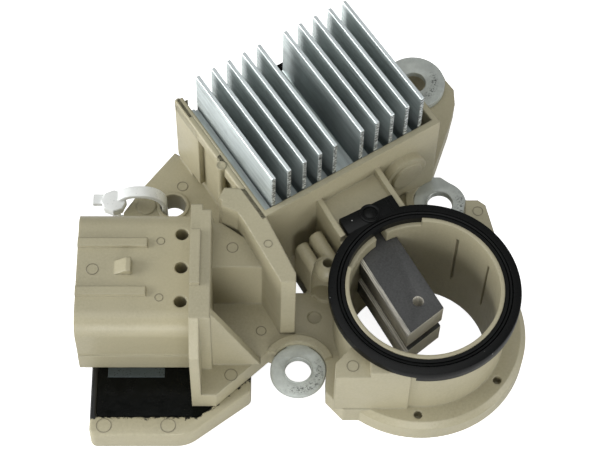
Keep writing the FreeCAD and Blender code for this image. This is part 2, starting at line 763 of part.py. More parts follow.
def cut_channels(body):
    """Cut the two brush channels, the seats of their terminals and the locking pin's hole."""
    for index in range(2):
        low = brush_level(index == 1)
        name = ("lower", "upper")[index]
        hollow(body, "channel_" + name, low + " - brush_clearance",
               low + " + brush_height + brush_clearance", "brush",
               "bore_radius / 2", "brush_offset - brush_width / 2 - brush_clearance",
               "channel_end", "brush_offset + brush_width / 2 + brush_clearance")
    drill(body, "pin_hole", "brush_low + brush_pitch + brush_height", "holder_top",
          "brush_travel", "pin_hole_side", "pin_hole_radius", "brush")
    hollow(body, "pin_slot", "brush_low + brush_pitch + brush_height", "ring_height", "brush",
           "bore_radius / 2", "pin_hole_side - pin_slot / 2", RING_RADIUS + " + 0.6",
           "pin_hole_side + pin_slot / 2")
    drill(body, "ball_hole", "plate_top + ball_radius", "ball_top", "bump_start", "ball_side",
          "ball_hole_radius", "brush")


def cut_plate(body):
    """Cut the slot beside the diagonal wall, the round recess before it and the pocket's hole."""
    drawing = sketch_on(body, "slot", "plate_top")
    polygon(drawing, [("-slot_x", "slot_front"),
                      ("-slot_x + slot_width * 0.8", "slot_front"),
                      ("-slot_x + slot_width", "slot_front + slot_width * 0.3"),
                      ("-slot_x + slot_width", "slot_front + slot_width * 0.6"),
                      ("-slot_x", "slot_front + slot_length")])
    cut(body, drawing, "plate_top - plate_bottom")
    drill(body, "recess", "plate_top - recess_depth", "plate_top", "-recess_x", "recess_y",
          "recess_radius")
    drill(body, "pocket_hole", "pocket_top - pocket_hole_depth", "wall_top", "-pocket_hole_x",
          "pocket_back - pocket_hole_radius / 2", "pocket_hole_radius")


def cut_plug(body):
    """Hollow the plug housing and cut the core holes and the pins' seats."""
    drawing = sketch_on(body, "plug_mouth_cut", "-plug_mouth + plug_depth", "base", "YZ_Plane")
    rounded_rectangle(drawing, "-plug_front + plug_wall", "plate_bottom + plug_wall",
                      PLUG_BACK + " - plug_wall", "plug_top - plug_wall",
                      "plug_corner - plug_wall / 2", "plug_corner - plug_wall / 2")
    cut(body, drawing, "plug_depth")
    for index in range(3):
        middle = "(%s + %d * pin_pitch)" % (PLUG_MIDDLE, index - 1)
        drill(body, "core_hole_%d" % (index + 1), "pin_level + pin_thickness", "plug_top",
              "-core_hole_x", middle, "core_hole_radius")
        drawing = sketch_on(body, "pin_seat_%d" % (index + 1), "-apron_left + cross_wall / 2",
                            "base", "YZ_Plane")
        rectangle(drawing, middle + " - pin_width / 2", "pin_level",
                  middle + " + pin_width / 2", "pin_level + pin_thickness")
        cut(body, drawing, "plug_mouth - plug_depth - apron_left + cross_wall")


def front_tongue():
    """Return the corners of the front eyelet's tongue."""
    return [("-front_eyelet_x - tongue_width / 2", "-front_eyelet_y + eyelet_radius / 2"),
            ("-front_eyelet_x + tongue_width / 2", "-front_eyelet_y + eyelet_radius / 2"),
            ("-front_eyelet_x + tongue_width / 2", "-front_eyelet_y + tongue_length"),
            ("-front_eyelet_x - tongue_width / 2", "-front_eyelet_y + tongue_length")]


def right_tongue():
    """Return the corners of the right eyelet's wide tongue, which runs in under the box."""
    return [("right_eyelet_x + eyelet_radius * 0.62", "right_eyelet_y + eyelet_radius * 0.76"),
            ("right_eyelet_x + 0.4", "right_eyelet_y + eyelet_radius * 1.17"),
            ("right_eyelet_x - tongue_length * 0.72", "right_eyelet_y + eyelet_radius * 1.17"),
            ("right_eyelet_x - eyelet_radius * 0.9", "right_eyelet_y + eyelet_radius * 0.35")]


def cut_eyelets(body):
    """Cut the rounds that the bolt eyelets sit in, and the slots of their tongues."""
    for name, across, along in (("front", "-front_eyelet_x", "-front_eyelet_y"),
                                ("right", "right_eyelet_x", "right_eyelet_y")):
        drill(body, "eyelet_round_" + name, "plate_bottom", "plate_top + eyelet_collar_height",
              across, along, "eyelet_radius + eyelet_gap")
    drawing = sketch_on(body, "tongue_slot_front", EYELET_TOP)
    polygon(drawing, front_tongue())
    cut(body, drawing, "eyelet_thickness")
    drawing = sketch_on(body, "tongue_slot_right", EYELET_TOP)
    polygon(drawing, right_tongue())
    cut(body, drawing, "eyelet_thickness")
    drill(body, "rear_lug_hole", "plate_bottom", "plate_top", DISC_MIDDLE, "disc_along",
          "disc_hole + 0.3", "box")
    drill(body, "rear_left_hole", "plate_bottom", "plate_top + lug_rim_height", "-lug_x", "lug_y",
          "lug_hole_radius")


def make_housing():
    """Make the one-piece moulding that carries everything."""
    body = new_body("housing")
    add_base_plate(body)
    add_tube(body)
    add_box(body)
    add_box_boss(body)
    add_brush_holder(body)
    add_plug(body)
    add_walls(body)
    add_collars(body)
    cut_bore(body)
    cut_channels(body)
    cut_plate(body)
    cut_plug(body)
    cut_eyelets(body)
    return body


def make_heat_sink():
    """Make the extruded heat sink: a base and two groups of thin fins."""
    body = new_body("heat_sink")
    start = "(box_wall + sink_gap)"
    end = "(%s + %s)" % (start, FIN_LENGTH)
    bar(body, "sink_plate", "ledge_height", SINK_TOP, "box", start, start, SINK_RIGHT, end)
    for group in range(2):
        place = "(%s + %d * ((fin_count - 1) * %s + fin_gap))" % (FIN_FIRST, group, FIN_PITCH)
        fin = bar(body, "fin_%d" % (group + 1), SINK_TOP, "fin_top", "box", place, start,
                  place + " + fin_thickness", end)
        row = body.newObject("PartDesign::LinearPattern", "fins_%d" % (group + 1))
        row.Originals = [fin]
        row.Direction = (fin.Profile[0], ["H_Axis"])
        bind(row, "Length", "(fin_count - 1) * " + FIN_PITCH)
        bind(row, "Occurrences", "fin_count")
        body.Tip = row
    return body


def make_seal():
    """Make the rubber seal with its grooves, skirt and tab."""
    body = new_body("seal_ring")
    top = "(ring_height + seal_thickness)"
    drawing = sketch_on(body, "seal_flat", "ring_height")
    circle(drawing, "0", "0", "seal_radius")
    circle(drawing, "0", "0", COLLAR_RADIUS + " + seal_fit")
    pad(body, drawing, "seal_thickness")
    block(body, "seal_tab", "ring_height", top, "brush",
          ("bore_radius + tube_wall", "-tab_right"),
          ("tab_reach", "-tab_right"),
          ("tab_reach", "tab_left"),
          ("bore_radius + tube_wall - 0.4", "tab_left"))
    drawing = sketch_on(body, "seal_skirt", "ring_height - skirt_drop")
    sector(drawing, "0", "0", RING_RADIUS + " + seal_fit", "seal_radius", "skirt_start", "skirt_end")
    pad(body, drawing, "skirt_drop + seal_thickness / 2")
    disc(body, "tab_boss", top, top + " + tab_boss_height", "brush_travel", "pin_hole_side",
         "tab_boss_radius", "brush")
    for index in range(2):
        middle = "(%s + (seal_radius - %s) * %s)" % (COLLAR_RADIUS, COLLAR_RADIUS, ("0.3", "0.62")[index])
        drawing = sketch_on(body, "seal_groove_%d" % (index + 1), top)
        circle(drawing, "0", "0", middle + " + seal_groove_width / 2")
        circle(drawing, "0", "0", middle + " - seal_groove_width / 2")
        cut(body, drawing, "seal_groove")
    return body


def make_brush(name, upper):
    """Make one carbon brush with its raked, slanted tip."""
    body = new_body(name)
    low = brush_level(upper)
    left = "(brush_offset + brush_width / 2)"
    right = "(brush_offset - brush_width / 2)"
    block(body, name + "_bar", low, low + " + brush_height", "brush",
          ("-brush_tip + brush_tip_cut", right),
          (BRUSH_BACK, right),
          (BRUSH_BACK, left),
          ("-brush_tip", left))
    if upper:
        drill(body, name + "_hole", low, low + " + brush_height", "0", "pin_hole_side",
              "pin_hole_radius", "brush")
    return body


def make_spring(name, upper):
    """Make the coil spring between a brush and its terminal, of wire with flat sides."""
    spring = doc.addObject("Part::Feature", name)
    spring.Label = name
    wire = value("spring_wire")
    start = value(BRUSH_BACK + " + spring_wire + spring_gap")
    length = value(TERMINAL_FACE + " - 2 * (spring_wire + spring_gap)") - value(BRUSH_BACK)
    turns = max(2, round(length / value("spring_pitch")))
    coil = Part.makeHelix(length / turns, length, value("spring_radius"))
    corners = []
    for index in range(7):
        angle = math.radians(60 * index)
        corners.append(FreeCAD.Vector(value("spring_radius") + wire * math.cos(angle), 0,
                                      wire * math.sin(angle)))
    solid = Part.Wire(coil.Edges).makePipeShell([Part.makePolygon(corners)], True, True)
    centre = value(brush_level(upper) + " + brush_height / 2")
    upright = FreeCAD.Placement(FreeCAD.Vector(start, value("brush_offset"), centre),
                                FreeCAD.Rotation(FreeCAD.Vector(0, 1, 0), 90))
    turned = FreeCAD.Placement(FreeCAD.Vector(),
                               FreeCAD.Rotation(FreeCAD.Vector(0, 0, 1), value("brush_turn")))
    spring.Shape = solid
    spring.Placement = turned.multiply(upright)
    return spring


def make_lead(name, upper):
    """Make the braided lead that runs through the spring from brush to terminal."""
    body = new_body(name)
    drawing = body.newObject("Sketcher::SketchObject", name + "_round")
    support = [face for face in body.Origin.OriginFeatures if face.Role == "YZ_Plane"][0]
    drawing.AttachmentSupport = (support, "")
    drawing.MapMode = "FlatFace"
    drawing.AttachmentOffset = FreeCAD.Placement(
        FreeCAD.Vector(), FreeCAD.Rotation(FreeCAD.Vector(0, 1, 0), value("brush_turn")))
    bind(drawing, "AttachmentOffset.Rotation.Angle", "brush_turn")
    bind(drawing, "AttachmentOffset.Base.x", BRUSH_BACK + " * sin(brush_turn)")
    bind(drawing, "AttachmentOffset.Base.z", BRUSH_BACK + " * cos(brush_turn)")
    circle(drawing, "brush_offset", brush_level(upper) + " + brush_height / 2", "lead_radius")
    pad(body, drawing, TERMINAL_FACE + " - " + BRUSH_BACK)
    return body


def make_brush_terminal(name, upper):
    """Make the metal plate at the closed end of a brush channel."""
    body = new_body(name)
    low = brush_level(upper)
    bar(body, name + "_plate", low, low + " + brush_height", "brush", TERMINAL_FACE,
        "brush_offset - brush_width / 2", "channel_end", "brush_offset + brush_width / 2")
    return body


def make_eyelet(name, across, along, tongue):
    """Make one bolt eyelet with the tongue that is moulded into the housing."""
    body = new_body(name)
    low = EYELET_TOP + " - eyelet_thickness"
    disc(body, name + "_ring", low, EYELET_TOP, across, along, "eyelet_radius")
    block(body, name + "_tongue", low, EYELET_TOP, "base", *tongue)
    drill(body, name + "_hole", low, EYELET_TOP, across, along, "eyelet_hole")
    return body


def make_rear_washer():
    """Make the plated washer on the rear lug."""
    body = new_body("terminal_disc_rear")
    top = "(plate_top + disc_thickness)"
    disc(body, "washer", "plate_top", top, DISC_MIDDLE, "disc_along", "disc_radius", "box")
    drill(body, "washer_hole", "plate_top", top, DISC_MIDDLE, "disc_along", "disc_hole", "box")
    return body


def make_pin(index):
    """Make one flat pin of the plug."""
    name = "connector_pin_%d" % (index + 1)
    body = new_body(name)
    middle = "(%s + %d * pin_pitch)" % (PLUG_MIDDLE, index - 1)
    bar(body, name + "_blade", "pin_level", "pin_level + pin_thickness", "base",
        "-plug_mouth + plug_depth - pin_reach", middle + " - pin_width / 2",
        "-apron_left + cross_wall / 2", middle + " + pin_width / 2")
    return body


def case_outline(inset, front_inset):
    """Return the corners of the module case, drawn in by its walls."""
    right = "(-case_right - %s)" % inset
    return [("-case_left + " + inset, "-case_front + " + front_inset),
            ("-case_corner_x + 1.6 * %s" % inset, "-case_front + " + front_inset),
            (right, "-case_side + 0.55 * " + front_inset),
            (right, "case_back - " + inset),
            ("-case_left + " + inset, "case_back - " + inset)]


def make_case():
    """Make the shallow module case."""
    body = new_body("module_case")
    outline = case_outline("0", "0")
    shell = block(body, "case_outside", "0", "plate_bottom", "base", *outline)
    shell = round_corners(body, shell, "case_bend_round", "case_bend", [outline[1]])
    shell = round_corners(body, shell, "case_corner_round", "case_corner",
                          [outline[0], outline[2], outline[3], outline[4]])
    drawing = sketch_on(body, "case_inside", "plate_bottom")
    inner = case_outline("case_wall", "case_rim")
    polygon(drawing, inner)
    shell = cut(body, drawing, "plate_bottom - case_floor")
    round_corners(body, shell, "case_inner_round", "case_inner_corner", inner)
    return body


def make_potting():
    """Make the hardened potting compound that fills the module case."""
    body = new_body("potting_compound")
    top = "(plate_bottom - potting_drop)"
    outline = case_outline("case_wall", "case_rim")
    fill = block(body, "potting", "case_floor", top, "base", *outline)
    round_corners(body, fill, "potting_round", "case_inner_corner", outline)
    hollow(body, "plate_seat", top + " - module_plate_thickness", top, "base",
           "-module_plate_left", "-module_plate_front", "-module_plate_left + module_plate_width",
           "-module_plate_front + module_plate_length")
    return body


def make_module_plate():
    """Make the flat plate set in the potting compound."""
    body = new_body("module_plate")
    top = "(plate_bottom - potting_drop)"
    bar(body, "plate_bar", top + " - module_plate_thickness", top + " + potting_drop / 2", "base",
        "-module_plate_left", "-module_plate_front", "-module_plate_left + module_plate_width",
        "-module_plate_front + module_plate_length")
    return body


def make_sealant():
    """Make the bead of sealant behind the heat sink."""
    body = new_body("heat_sink_sealant")
    bar(body, "sealant", "ledge_height", SINK_TOP + " - 0.3", "box", "box_wall",
        "box_depth - box_wall - sealant_width", "box_width - box_wall", "box_depth - box_wall")
    return body


def make_board():
    """Make the control board on its two posts."""
    body = new_body("control_board")
    left = "(box_wall + ledge_width + board_margin)"
    bar(body, "board", "board_top - board_thickness", "board_top", "box", left, left,
        left + " + board_width", left + " + board_length")
    return body


def make_chip():
    """Make the regulator chip under the heat sink, with its legs down to the board."""
    body = new_body("regulator_chip")
    left = "(box_wall + ledge_width + board_margin + (board_width - chip_width) / 2)"
    low = "(ledge_height - chip_height)"
    bar(body, "chip", low, "ledge_height", "box", left, "chip_place",
        left + " + chip_width", "chip_place + chip_length")
    drawing = sketch_on(body, "legs", "board_top", "box")
    for index in range(SIZES["leg_count"]):
        place = "(chip_place + leg_pitch / 2 + %d * leg_pitch)" % index
        rectangle(drawing, left + " + chip_width / 2", place, left + " + chip_width / 2 + leg_width",
                  place + " + leg_width")
    pad(body, drawing, low + " - board_top")
    return body


def make_tie():
    """Make the cable tie that loops through the rear left lug."""
    body = new_body("cable_tie")
    drawing = sketch_on(body, "tie_band", "-lug_y - tie_width / 2", "base", "XZ_Plane")
    rounded_rectangle(drawing, "-tie_left - tie_thickness", "tie_low - tie_thickness",
                      "-tie_right + tie_thickness", "tie_high + tie_thickness",
                      "tie_bend + tie_thickness", "tie_low_bend + tie_thickness")
    rounded_rectangle(drawing, "-tie_left", "tie_low", "-tie_right", "tie_high",
                      "tie_bend", "tie_low_bend")
    pad(body, drawing, "tie_width")
    left = "-tie_head_left"
    right = "(-tie_head_left + tie_head_width)"
    front = "(lug_y - tie_head_length / 2)"
    back = "(lug_y + tie_head_length / 2)"
    head = block(body, "tie_head", "tie_head_low", "tie_head_low + tie_head_height", "base",
                 (left, front), (right, front), (right, back), (left, back))
    round_corners(body, head, "tie_head_round", "tie_head_corner",
                  [(left, front), (right, front), (right, back), (left, back)])
    tail = "(tie_head_low + tie_head_height / 2)"
    bar(body, "tie_tail", tail + " - tie_thickness / 2", tail + " + tie_thickness / 2", "base",
        left + " - tie_tail", back + " - tie_tail_width - tie_thickness / 2",
        left + " + tie_head_corner", back + " - tie_thickness / 2")
    return body


pieces = [make_housing(), make_case(), make_potting(), make_module_plate(), make_heat_sink(),
          make_sealant(), make_board(), make_chip(), make_seal()]
for name, upper in (("upper", True), ("lower", False)):
    pieces.append(make_brush("brush_" + name, upper))
    pieces.append(make_spring("brush_spring_" + name, upper))
    pieces.append(make_lead("brush_lead_" + name, upper))
    pieces.append(make_brush_terminal("brush_terminal_" + name, upper))
pieces.append(make_eyelet("terminal_eyelet_front", "-front_eyelet_x", "-front_eyelet_y", front_tongue()))
pieces.append(make_eyelet("terminal_eyelet_right", "right_eyelet_x", "right_eyelet_y", right_tongue()))
pieces.append(make_rear_washer())
pieces.extend(make_pin(index) for index in range(3))
pieces.append(make_tie())

doc.recompute()

# Every object has to be sound before anything is written
for item in doc.Objects:
    if "Invalid" in item.State or "Error" in item.State:
        raise RuntimeError("%s did not build: %s" % (item.Name, item.State))
for piece in pieces:
    shape = piece.Shape
    if shape.isNull() or not shape.isValid() or not shape.Solids:
        raise RuntimeError("%s has no sound solid" % piece.Label)
    shape.exportStep("parts/%s.step" % piece.Label)
    print("%-24s %d solid, %.2f cm3" % (piece.Label, len(shape.Solids), shape.Volume / 1000))
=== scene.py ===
import math

import bmesh
import bpy
from mathutils import Matrix, Vector


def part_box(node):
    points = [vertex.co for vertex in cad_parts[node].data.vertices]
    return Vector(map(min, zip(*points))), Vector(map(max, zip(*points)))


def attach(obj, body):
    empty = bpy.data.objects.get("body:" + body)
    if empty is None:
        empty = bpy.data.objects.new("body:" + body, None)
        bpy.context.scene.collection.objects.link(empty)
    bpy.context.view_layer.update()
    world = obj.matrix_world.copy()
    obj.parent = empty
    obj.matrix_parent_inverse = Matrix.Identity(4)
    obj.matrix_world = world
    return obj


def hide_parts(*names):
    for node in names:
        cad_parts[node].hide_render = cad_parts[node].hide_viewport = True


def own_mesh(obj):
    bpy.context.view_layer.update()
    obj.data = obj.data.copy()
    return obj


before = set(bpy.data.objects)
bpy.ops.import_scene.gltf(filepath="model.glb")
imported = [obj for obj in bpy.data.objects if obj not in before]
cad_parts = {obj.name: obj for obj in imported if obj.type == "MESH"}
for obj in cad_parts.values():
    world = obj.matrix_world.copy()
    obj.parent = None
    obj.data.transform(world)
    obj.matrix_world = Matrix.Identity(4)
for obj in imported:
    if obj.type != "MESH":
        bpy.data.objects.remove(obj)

bl_info = {
    "name": "Alternator voltage regulator",
    "version": (1, 0, 0),
    "blender": (4, 5, 0),
    "location": "View3D > Sidebar > Regulator",
    "description": "Dresses an alternator voltage regulator and sets its stage",
    "category": "Object",
}

MM = 0.001
FLAT_ANGLE = math.radians(0.6)
SHARP_ANGLE = math.radians(28)
HOLDER = "holder"
BRUSH_TURN = math.radians(118.5)
BOX_TURN = math.radians(32.4)
BOX_CORNER = (-32.1, 13.8)
BRUSH_LINE = Vector((math.cos(BRUSH_TURN), math.sin(BRUSH_TURN), 0))

# Places and sizes on the frame's own pieces, in millimetres and degrees
SEAL_BASE = 28.2
SEAL_TOP = 30.0
SEAL_INNER = 16.2
SEAL_OUTER = 19.6
SKIRT_INNER = 18.05
SKIRT_SPAN = (263, 342)
SEAL_NUB = (20.2, 1.2)
TAB_LINES = (-4.2, -3.5)
CASE_RIM_FRONT = -17.7
CASE_RIM_CORNER = -46.2
CASE_RIM_TURN = math.radians(39.8)
EYELET_HOLE = 2.75
BOLT_HOLES = {
    "terminal_eyelet_front": (-25.4, -9.4),
    "terminal_eyelet_right": (5.9, 31.0),
    "terminal_disc_rear": (1.2, 61.5),
}

# Bars in the frame of the heat sink's box, each from its low corner to its high one
WALL_CUTS = (
    ((0.6, 32.95, 25.2), (42.6, 34.9, 36)),
    ((0.6, 1.35, 30.9), (1.45, 32.9, 36)),
    ((-0.2, 34.0, 25.3), (1.2, 35.2, 36.1)),
)
RIM_BARS = (
    ((-1.2, -0.4, 31.2), (0.1, 34.3, 34.5)),
    ((-1.2, 24.8, 13.5), (0.1, 34.3, 34.4)),
)
SINK_LIPS = (
    ((0.66, 1.5, 30.95), (1.45, 30.6, 33.7)),
    ((1.4, 1.5, 30.5), (2.35, 30.6, 32.9)),
)
BEAD_BARS = (
    ((1.35, 30.9, 24.5), (41.8, 32.9, 27.7)),
    ((17.5, 30.9, 24.6), (25.2, 32.8, 30.6)),
)

# Posts of the moulding: the ringed one at the rim, the plain one and the round one put for it
RIM_POST = (-41.4, 25.9)
PLAIN_POST = (-20.35, 7.6)
ROUND_POST = (-19.3, 8.8)
ROUND_POST_LEVEL = 21.6

# The cable tie's loop: its size, middle and the bend at its top, then its head and its end
TIE_SIZE = (11.5, 2.6, 13.3)
TIE_MIDDLE = (-59.35, 29.7, 11.45)
TIE_BEND = 5.2
TIE_THICKNESS = 1.1
TIE_HEAD = (-64.9, 28.6)
TIE_END = ((-69.4, 28.2, 14.2), (-67.0, 30.6, 15.2))

# Marks that the mould's ejector pins left: place, level and radius
EJECTOR_MARKS = (
    (-54.0, 14.2, 23.6, 0.82),
    (-54.0, 0.9, 23.6, 0.82),
    (-67.9, 7.5, 23.6, 1.23),
    (-39.0, 10.4, 27.6, 1.13),
    (-31.7, 7.4, 34.5, 0.82),
    (-33.1, -0.6, 11.6, 1.03),
    (-39.3, -10.8, 11.6, 1.29),
    (-50.4, 34.8, 11.6, 1.13),
    (-65.6, -19.8, 6.2, 1.54),
    (-52.3, -19.8, 6.2, 1.54),
    (-14.8, -15.9, 26.3, 1.17),
    (12.1, 20.0, 26.3, 1.03),
)

# Colours of small features in the finishes, and of the painted shade and painted highlight on the
# heat sink's fins
SINK_PAINTED_SHADE = (0.06, 0.075, 0.078)
SINK_PAINTED_HIGHLIGHT = (0.86, 0.93, 0.93)
SAWN_DARK = (0.16, 0.18, 0.18)
SAWN_BRIGHT = (0.9, 0.95, 0.94)
DUST = (0.7, 0.7, 0.68)
SCUFF = (0.07, 0.075, 0.07)

# The camera's place in millimetres, its axes as a matrix, and where the lamps aim in metres
CAMERA_PLACE = (-32.26, -181.45, 367.06)
CAMERA_AXES = (
    (0.99983, -0.00214, -0.01823),
    (-0.00731, 0.86464, -0.50234),
    (0.01684, 0.50239, 0.86448),
)
LAMP_TARGET = (0.0, 0.02, 0.01)


# Node trees

def new_material(name):
    """Start a node material and return it with its tree's nodes, links and shader."""
    material = bpy.data.materials.new(name)
    material.use_nodes = True
    tree = material.node_tree
    tree.nodes.clear()
    output = tree.nodes.new("ShaderNodeOutputMaterial")
    shader = tree.nodes.new("ShaderNodeBsdfPrincipled")
    tree.links.new(shader.outputs["BSDF"], output.inputs["Surface"])
    return material, tree.nodes, tree.links, shader


def object_coordinates(nodes, links, scale=(1, 1, 1), turn=(0, 0, 0), place=(0, 0, 0)):
    """Return the socket of the piece's own coordinates, turned and stretched."""
    source = nodes.new("ShaderNodeTexCoord")
    mapping = nodes.new("ShaderNodeMapping")
    mapping.vector_type = "TEXTURE"
    mapping.inputs["Location"].default_value = place
    mapping.inputs["Rotation"].default_value = turn
    mapping.inputs["Scale"].default_value = scale
    links.new(source.outputs["Object"], mapping.inputs["Vector"])
    return mapping.outputs["Vector"]


def noise(nodes, links, vector, size, detail=3, roughness=0.5):
    """Return the factor of a noise whose features are about a size across, in metres."""
    texture = nodes.new("ShaderNodeTexNoise")
    texture.inputs["Scale"].default_value = 1 / size
    texture.inputs["Detail"].default_value = detail
    texture.inputs["Roughness"].default_value = roughness
    links.new(vector, texture.inputs["Vector"])
    return texture.outputs["Fac"]


def ramp(nodes, links, factor, low, high, start=0.0, end=1.0):
    """Return a factor stretched between two values and held at both ends."""
    node = nodes.new("ShaderNodeMapRange")
    node.inputs["From Min"].default_value = low
    node.inputs["From Max"].default_value = high
    node.inputs["To Min"].default_value = start
    node.inputs["To Max"].default_value = end
    links.new(factor, node.inputs["Value"])
    return node.outputs["Result"]


def blend_colours(nodes, links, factor, first, second):
    """Return a mix of two colours, each a socket or a plain colour, by a factor."""
    node = nodes.new("ShaderNodeMix")
    node.data_type = "RGBA"
    links.new(factor, node.inputs["Factor"])
    for socket, colour in ((node.inputs["A"], first), (node.inputs["B"], second)):
        if isinstance(colour, bpy.types.NodeSocket):
            links.new(colour, socket)
        else:
            socket.default_value = (*colour, 1)
    return node.outputs["Result"]


def calculate(nodes, links, operation, first, second=None):
    """Return one step of arithmetic on sockets and numbers."""
    node = nodes.new("ShaderNodeMath")
    node.operation = operation
    for index, entry in enumerate((first, second)):
        if isinstance(entry, bpy.types.NodeSocket):
            links.new(entry, node.inputs[index])
        elif entry is not None:
            node.inputs[index].default_value = entry
    return node.outputs[0]


def bump(nodes, links, shader, height, depth, strength=0.5, edge=0.0):
    """Raise the surface by a height's socket, with soft edges of a radius where one is given."""
    node = nodes.new("ShaderNodeBump")
    node.inputs["Strength"].default_value = strength
    node.inputs["Distance"].default_value = depth
    links.new(height, node.inputs["Height"])
    if edge:
        soft = nodes.new("ShaderNodeBevel")
        soft.samples = 6
        soft.inputs["Radius"].default_value = edge
        links.new(soft.outputs["Normal"], node.inputs["Normal"])
    links.new(node.outputs["Normal"], shader.inputs["Normal"])


def axis_value(nodes, links, vector, axis):
    """Return one axis of a vector's socket, in metres."""
    parts = nodes.new("ShaderNodeSeparateXYZ")
    links.new(vector, parts.inputs[0])
    return parts.outputs["XYZ".index(axis)]


def facing(nodes, links, direction, low, high):
    """Return how far the true surface faces a direction, from 0 at low to 1 at high."""
    surface = nodes.new("ShaderNodeNewGeometry")
    product = nodes.new("ShaderNodeVectorMath")
    product.operation = "DOT_PRODUCT"
    links.new(surface.outputs["True Normal"], product.inputs[0])
    product.inputs[1].default_value = direction
    return ramp(nodes, links, product.outputs["Value"], low, high)


def specks(nodes, links, vector, spacing, size):
    """Return 1 on a few small scattered dots and 0 elsewhere."""
    cells = nodes.new("ShaderNodeTexVoronoi")
    cells.inputs["Scale"].default_value = 1 / spacing
    links.new(vector, cells.inputs["Vector"])
    dots = ramp(nodes, links, cells.outputs["Distance"], size / spacing, size / spacing * 0.5)
    rare = ramp(nodes, links, axis_value(nodes, links, cells.outputs["Color"], "X"), 0.86, 0.9)
    return calculate(nodes, links, "MULTIPLY", dots, rare)


def darker(colour, factor):
    """Return a colour with its light scaled."""
    return tuple(channel * factor for channel in colour)


def open_finish(material):
    """Return a finished material's nodes, links and shader, and the socket of its colour."""
    nodes, links = material.node_tree.nodes, material.node_tree.links
    shader = [node for node in nodes if node.type == "BSDF_PRINCIPLED"][0]
    return nodes, links, shader, shader.inputs["Base Color"].links[0].from_socket


# Finishes

def beige_plastic(name, colour):
    """Make the satin beige moulding with its faint flow marks, stains and grain."""
    material, nodes, links, shader = new_material(name)
    vector = object_coordinates(nodes, links)
    broad = ramp(nodes, links, noise(nodes, links, vector, 14 * MM, 4, 0.6), 0.35, 0.68)
    stained = blend_colours(nodes, links, broad, colour, darker(colour, 0.86))
    fine = ramp(nodes, links, noise(nodes, links, vector, 0.5 * MM, 4, 0.7), 0.3, 0.75)
    pale = tuple(channel * 1.06 + 0.006 for channel in colour)
    speckled = blend_colours(nodes, links, fine, stained, pale)
    links.new(speckled, shader.inputs["Base Color"])
    rough = noise(nodes, links, vector, 3 * MM, 3)
    links.new(ramp(nodes, links, rough, 0.3, 0.7, 0.3, 0.44), shader.inputs["Roughness"])
    shader.inputs["Specular IOR Level"].default_value = 0.5
    grain = noise(nodes, links, vector, 0.5 * MM, 2)
    bump(nodes, links, shader, grain, 0.03 * MM, 0.25, 0.5 * MM)
    return material


def brushed_metal(name, colour, roughness, turn=0.0, grain=(0.8, 30, 0.8), depth=0.02):
    """Make bare metal whose grain runs one way, stretched by three sizes in millimetres."""
    material, nodes, links, shader = new_material(name)
    stretch = tuple(size * MM for size in grain)
    lines = noise(nodes, links, object_coordinates(nodes, links, stretch, (0, 0, turn)), 1 / 6)
    vector = object_coordinates(nodes, links)
    cloud = ramp(nodes, links, noise(nodes, links, vector, 5 * MM, 4, 0.6), 0.3, 0.7)
    tone = blend_colours(nodes, links, cloud, colour, darker(colour, 0.78))
    links.new(blend_colours(nodes, links, ramp(nodes, links, lines, 0.35, 0.7), tone,
                            darker(colour, 1.12)), shader.inputs["Base Color"])
    shader.inputs["Metallic"].default_value = 1.0
    links.new(ramp(nodes, links, lines, 0.3, 0.7, roughness, roughness + 0.14),
              shader.inputs["Roughness"])
    bump(nodes, links, shader, lines, depth * MM, 0.3, 0.12 * MM)
    return material


def case_plastic(name, colour, ink):
    """Make the beige of the module case, with resin smeared along the inner edge of its rim."""
    material = beige_plastic(name, colour)
    nodes, links, shader, plain = open_finish(material)
    vector = object_coordinates(nodes, links)
    across = axis_value(nodes, links, vector, "X")
    along = axis_value(nodes, links, vector, "Y")
    front = calculate(nodes, links, "SUBTRACT", CASE_RIM_FRONT * MM, along)
    slope = calculate(nodes, links, "SUBTRACT", across, CASE_RIM_CORNER * MM)
    slope = calculate(nodes, links, "MULTIPLY", slope, math.sin(CASE_RIM_TURN))
    behind = calculate(nodes, links, "SUBTRACT", along, CASE_RIM_FRONT * MM)
    behind = calculate(nodes, links, "MULTIPLY", behind, math.cos(CASE_RIM_TURN))
    slope = calculate(nodes, links, "SUBTRACT", slope, behind)
    reach = calculate(nodes, links, "MAXIMUM", front, slope)
    ragged = noise(nodes, links, vector, 1.6 * MM, 5, 0.75)
    ragged = ramp(nodes, links, ragged, 0.42, 0.8, 0, 1.9 * MM)
    smear = ramp(nodes, links, calculate(nodes, links, "SUBTRACT", ragged, reach), 0, 0.12 * MM)
    links.new(blend_colours(nodes, links, smear, plain, ink), shader.inputs["Base Color"])
    return material


